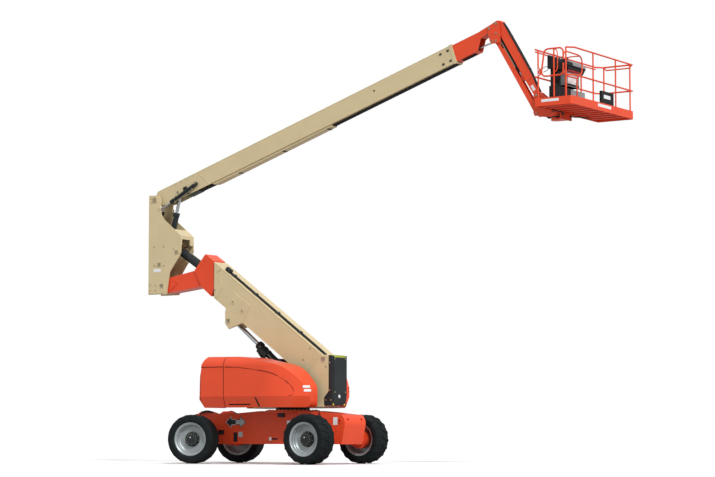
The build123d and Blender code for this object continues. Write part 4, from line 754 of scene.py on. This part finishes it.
knuckleBits = bmesh.new()
for side in (-1, 1):
    for x, z in ((5.450, 8.60), (5.466, 8.42), (5.255, 8.42), (5.335, 8.30)):
        addRod(knuckleBits, (x, side * 0.115, z), (x, side * 0.123, z), 0.010, 6)
finishPiece("knuckle_bolts", knuckleBits, boltSteel, "jib_knuckle")
knuckleWelds = bmesh.new()
for side in (-1, 1):
    y = side * 0.1154
    for a, b in (((5.195, 8.607), (5.398, 8.709)), ((5.446, 8.676), (5.480, 8.302))):
        addRod(knuckleWelds, (a[0], y, a[1]), (b[0], y, b[1]), 0.003, 6)
finishPiece("knuckle_welds", knuckleWelds, orangePaint, "jib_knuckle")

turn = slope(jibAngle)
jibBits = bmesh.new()
for side in (-1, 1):
    y = side * 0.0704
    addRod(jibBits, alongJib(0.02, 0.098, y), alongJib(1.27, 0.098, y), 0.003, 6)
    addRod(jibBits, alongJib(0.02, -0.054, y), alongJib(1.27, -0.054, y), 0.003, 6)
# collar round the jib near its lower end
addBox(jibBits, alongJib(1.35, 0.0955, 0), (0.050, 0.152, 0.008), turn)
for side in (-1, 1):
    addBox(jibBits, alongJib(1.35, 0.018, side * 0.073), (0.050, 0.006, 0.140), turn)
finishPiece("jib_collar", jibBits, orangePaint, "jib_tube")
jibPlate = bmesh.new()
for side in (-1, 1):
    addBox(jibPlate, alongJib(1.56, 0.006, side * 0.0706), (0.120, 0.002, 0.062), turn)
finishPiece("jib_plates", jibPlate, whitePlate, "jib_tube")
jibHoses = bmesh.new()
for k in range(4):
    y = -0.045 + 0.03 * k
    addHose(jibHoses, [alongJib(0.03, 0.100, y), alongJib(0.25, 0.114, y), alongJib(1.10, 0.114, y),
                       alongJib(1.50, 0.085, y), alongJib(1.68, 0.070, y)], 0.009)
finishPiece("jib_hoses", jibHoses, hoseRubber, "jib_tube")
jibClamps = bmesh.new()
for s in (0.35, 0.75, 1.15):
    addBox(jibClamps, alongJib(s, 0.112, 0), (0.030, 0.13, 0.018), turn)
finishPiece("jib_clamps", jibClamps, blackPaint, "jib_tube")

linkWelds = bmesh.new()
linkPin = Vector((5.388, 0, 8.310))
linkWay = Vector((math.cos(jibAngle), 0, math.sin(jibAngle)))
for side in (-1, 1):
    for s in (0.0, 1.73):
        spot = linkPin + linkWay * s + Vector((0, side * 0.0575, 0))
        addRod(linkWelds, spot, spot + Vector((0, side * 0.006, 0)), 0.034, 20)
finishPiece("link_bosses", linkWelds, orangePaint, "jib_link")
print("jib dressed")

# ---------------------------------------------------------------- platform
rotateX = 6.66
footBits = bmesh.new()
for z in (6.695, 7.065):
    for k in range(12):
        a = 2 * math.pi * k / 12
        spot = Vector((rotateX + 0.088 * math.cos(a), 0.088 * math.sin(a), z))
        addRod(footBits, spot + Vector((0, 0, -0.006)), spot + Vector((0, 0, 0.010)), 0.007, 6)
finishPiece("rotator_bolts", footBits, boltSteel, "jib_foot")
rotator = bmesh.new()
for low, high, radius in ((6.70, 6.72, 0.110), (6.80, 6.98, 0.109), (7.04, 7.06, 0.110)):
    addRod(rotator, (rotateX, 0, low), (rotateX, 0, high), radius, 32)
finishPiece("rotator_body", rotator, blackPaint, "jib_foot")
footHoses = bmesh.new()
for k in range(3):
    y = -0.055 + 0.03 * k
    addHose(footHoses, [(6.30 + 0.02 * k, y, 7.05), (6.42, y, 6.86), (6.50, y, 6.70), (6.56, y, 6.76),
                        (6.57, y, 6.86)], 0.009)
finishPiece("foot_hoses", footHoses, hoseRubber, "jib_foot")

back, front, nearEdge = 6.880, 7.670, -1.235
railWelds = bmesh.new()
posts = [(back + 0.025, y) for y in (-0.56, 0.0, 0.56)] + [(front - 0.025, y) for y in (-0.352, 0.577, 1.19)]
posts += [(back + 0.042, -1.19), (front - 0.145, -1.21), (7.03, 1.28)]
for x, y in posts:
    for z in (7.300, 7.819):
        addRod(railWelds, (x, y, z - 0.019), (x, y, z - 0.015), 0.0185, 14)
    addBox(railWelds, (x, y, 6.8035), (0.048, 0.048, 0.006))
    addRod(railWelds, (x, y, 6.892), (x, y, 6.902), 0.0175, 14)
finishPiece("rail_joints", railWelds, orangePaint, "platform")
railSteel = bmesh.new()
for z in (7.350, 7.440):
    addBox(railSteel, (6.936, -1.208, z), (0.026, 0.010, 0.026))
    addRod(railSteel, (6.930, -1.206, z), (6.930, -1.222, z), 0.010, 8)
finishPiece("gate_hinge_plates", railSteel, whitePlate, "platform")

gateTube = bmesh.new()
addHose(gateTube, [(7.285, -1.21, 7.806), (7.330, -1.21, 7.775), (7.345, -1.21, 7.700), (7.345, -1.21, 7.470),
                   (7.325, -1.21, 7.400), (7.275, -1.21, 7.360)], 0.010, 10)
finishPiece("gate_grab_tube", gateTube, orangePaint, "entry_gate")
gateLatch = bmesh.new()
addHose(gateLatch, [(7.040, -1.222, 7.455), (7.075, -1.226, 7.475), (7.140, -1.226, 7.478),
                    (7.160, -1.226, 7.440), (7.130, -1.226, 7.405), (7.050, -1.222, 7.385)], 0.006)
addBox(gateLatch, (7.470, -1.212, 7.56), (0.044, 0.038, 0.060))
finishPiece("gate_latch", gateLatch, blackPlastic, "entry_gate")

guard = bmesh.new()
guardX = 7.25
addHose(guard, [(guardX, y, z) for y, z in (
    (-0.26, 6.80), (-0.26, 7.20), (-0.25, 7.38), (-0.08, 7.50), (-0.05, 7.62), (-0.06, 7.76), (-0.16, 7.83),
    (-0.45, 7.84), (-0.70, 7.835), (-0.79, 7.76), (-0.80, 7.60), (-0.79, 7.46), (-0.72, 7.38),
    (-0.26, 7.375))], 0.014, 12)
addHose(guard, [(guardX, -0.12, 7.825), (7.10, -0.10, 7.838), (6.93, -0.10, 7.830)], 0.012, 12)
addRod(guard, (guardX, -0.72, 6.80), (guardX, -0.72, 7.38), 0.013, 12)
finishPiece("console_guard", guard, orangePaint, "platform")

controls = bmesh.new()
for k, y in enumerate((-0.80, -0.70, -0.60, -0.50, -0.38, -0.28)):
    x, z = 7.05, 7.737
    if k in (0, 3, 5):
        addRod(controls, (x, y, z - 0.02), (x + 0.01, y, z + 0.030), 0.006, 8)
        addRod(controls, (x + 0.01, y, z + 0.024), (x + 0.014, y, z + 0.046), 0.014, 12)
    else:
        addRod(controls, (x, y, z - 0.012), (x, y, z + 0.008), 0.016, 12)
addBox(controls, (7.185, -0.22, 7.560), (0.012, 0.56, 0.058))
addBox(controls, (7.120, -0.22, 7.262), (0.014, 0.56, 0.030))
addBox(controls, (7.122, -0.465, 7.385), (0.012, 0.060, 0.215))
finishPiece("console_levers", controls, blackPlastic, "platform")
knob = bmesh.new()
addRod(knob, (7.13, -0.47, 7.690), (7.142, -0.47, 7.716), 0.022, 16)
addBox(knob, (7.150, -0.22, 7.524), (0.070, 0.50, 0.016))
finishPiece("console_stop_knob", knob, redPlastic, "platform")
sheet = bmesh.new()
addBox(sheet, (7.1165, -0.19, 7.385), (0.003, 0.36, 0.200))
addBox(sheet, (7.625, 0.255, 7.045), (0.002, 0.27, 0.070))
finishPiece("console_sheet", sheet, whitePlate, "platform")
silver = bmesh.new()
lid = math.atan2(0.090, 0.190)
addBox(silver, (7.072, -0.03, 7.731), (0.180, 0.50, 0.010), Matrix.Rotation(lid, 4, "Y"))
addBox(silver, (7.172, -0.03, 7.655), (0.014, 0.50, 0.052))
addBox(silver, (7.040, -0.215, 7.372), (0.1515, 0.5915, 0.284))
addBox(silver, (7.010, 0.085, 7.060), (0.1515, 0.571, 0.256))
finishPiece("console_boxes", silver, silverPaint, "platform")
consoleHoses = bmesh.new()
for k in range(3):
    addHose(consoleHoses, [(6.990, -0.72 + 0.05 * k, 7.22), (7.060, -0.73 + 0.05 * k, 7.30),
                           (7.085, -0.72 + 0.05 * k, 7.42), (7.060, -0.68 + 0.05 * k, 7.515)], 0.011)
finishPiece("console_hoses", consoleHoses, hoseRubber, "platform")

pedal = bmesh.new()
addBox(pedal, (7.40, -0.55, 6.830), (0.22, 0.16, 0.055))
addBox(pedal, (7.40, -0.55, 6.860), (0.24, 0.18, 0.006))
finishPiece("foot_switch", pedal, blackPlastic, "platform")
toeStrip = bmesh.new()
addBox(toeStrip, (7.195, nearEdge - 0.0008, 6.842), (0.370, 0.0015, 0.050))
addBox(toeStrip, (front, 0.06, 6.842), (0.0015, 0.54, 0.056))
finishPiece("toe_board_strips", toeStrip, whitePlate, "platform")

underHoses = bmesh.new()
addHose(underHoses, [(6.86, -0.10, 6.72), (6.93, -0.22, 6.715), (7.02, -0.40, 6.722), (6.98, -0.62, 6.735),
                     (6.95, -0.72, 6.748)], 0.012)
addHose(underHoses, [(6.86, 0.10, 6.72), (6.93, 0.22, 6.715), (7.04, 0.42, 6.722), (7.00, 0.66, 6.735),
                     (6.95, 0.78, 6.748)], 0.012)
addHose(underHoses, [(6.60, -0.04, 6.665), (6.72, -0.10, 6.690), (6.82, -0.16, 6.735),
                     (6.90, -0.18, 6.735)], 0.012)
finishPiece("under_floor_hoses", underHoses, hoseRubber, "platform")
floorGrip = bmesh.new()
for i in range(16):
    for j in range(48):
        x = back + 0.045 + i * 0.046 + (0.011 if j % 2 else 0)
        y = nearEdge + 0.05 + j * 0.0505
        if x < front - 0.02:
            addBox(floorGrip, (x, y, 6.8005), (0.022, 0.005, 0.002),
                   Matrix.Rotation(math.radians(45 if (i + j) % 2 else -45), 4, "Z"))
finishPiece("floor_grip", floorGrip, orangePaint, "platform")
print("platform dressed")

# ---------------------------------------------------------------- floor, light, camera
floorMesh = bmesh.new()
bmesh.ops.create_grid(floorMesh, x_segments=1, y_segments=1, size=400)
floorData = bpy.data.meshes.new("studio_floor")
floorMesh.to_mesh(floorData)
floorMesh.free()
floor = bpy.data.objects.new("studio_floor", floorData)
bpy.context.scene.collection.objects.link(floor)
floorMaterial, floorNodes, floorLinks = newMaterial("floorMaterial")
floorShader = floorNodes["Principled BSDF"]
floorShader.inputs["Base Color"].default_value = (0.92, 0.92, 0.92, 1)
floorShader.inputs["Roughness"].default_value = 0.9
floorBounce = floorNodes.new("ShaderNodeBsdfDiffuse")
floorBounce.inputs["Color"].default_value = (0.42, 0.42, 0.42, 1)
floorMix = floorNodes.new("ShaderNodeMixShader")
floorRays = floorNodes.new("ShaderNodeLightPath")
floorLinks.new(floorRays.outputs["Is Camera Ray"], floorMix.inputs["Fac"])
floorLinks.new(floorBounce.outputs["BSDF"], floorMix.inputs[1])
floorLinks.new(floorShader.outputs["BSDF"], floorMix.inputs[2])
floorLinks.new(floorMix.outputs["Shader"], floorNodes["Material Output"].inputs["Surface"])
floorData.materials.append(floorMaterial)

world = bpy.data.worlds.new("studio")
bpy.context.scene.world = world
world.use_nodes = True
worldNodes, worldLinks = world.node_tree.nodes, world.node_tree.links
worldNodes.clear()
output = worldNodes.new("ShaderNodeOutputWorld")
seen = worldNodes.new("ShaderNodeBackground")
seen.inputs["Color"].default_value = (1, 1, 1, 1)
seen.inputs["Strength"].default_value = 1.0
lit = worldNodes.new("ShaderNodeBackground")
lit.inputs["Strength"].default_value = 0.80
mixer = worldNodes.new("ShaderNodeMixShader")
rays = worldNodes.new("ShaderNodeLightPath")
coords = worldNodes.new("ShaderNodeTexCoord")
split = worldNodes.new("ShaderNodeSeparateXYZ")
skyRamp = worldNodes.new("ShaderNodeValToRGB")
skyRamp.color_ramp.elements[0].position = 0.35
skyRamp.color_ramp.elements[0].color = (0.34, 0.34, 0.35, 1)
skyRamp.color_ramp.elements[1].position = 0.8
skyRamp.color_ramp.elements[1].color = (1.0, 1.0, 1.0, 1)
remap = worldNodes.new("ShaderNodeMapRange")
remap.inputs["From Min"].default_value = -1
worldLinks.new(coords.outputs["Generated"], split.inputs["Vector"])
worldLinks.new(split.outputs["Z"], remap.inputs["Value"])
worldLinks.new(remap.outputs["Result"], skyRamp.inputs["Fac"])
worldLinks.new(skyRamp.outputs["Color"], lit.inputs["Color"])
worldLinks.new(rays.outputs["Is Camera Ray"], mixer.inputs["Fac"])
worldLinks.new(lit.outputs["Background"], mixer.inputs[1])
worldLinks.new(seen.outputs["Background"], mixer.inputs[2])
worldLinks.new(mixer.outputs["Shader"], output.inputs["Surface"])


def addSun(name, energy, rotation, angle):
    light = bpy.data.lights.new(name, "SUN")
    light.energy = energy
    light.angle = math.radians(angle)
    lamp = bpy.data.objects.new(name, light)
    lamp.rotation_euler = tuple(math.radians(v) for v in rotation)
    bpy.context.scene.collection.objects.link(lamp)


addSun("keyLight", 1.95, (50, 0, 52), 8)
addSun("sideLight", 0.7, (66, 0, 82), 25)

bpy.context.scene.view_settings.view_transform = "Standard"
cameraData = bpy.data.cameras.new("camera")
cameraData.sensor_width = 36
cameraData.lens = 110.74
cameraData.clip_end = 500
camera = bpy.data.objects.new("camera", cameraData)
camera.location = (26.853 - lengthMiddle, -37.166, 0.60)
camera.rotation_euler = (math.radians(95.095), 0, math.radians(33.733))
bpy.context.scene.collection.objects.link(camera)
bpy.context.scene.camera = camera
print("stage ready")
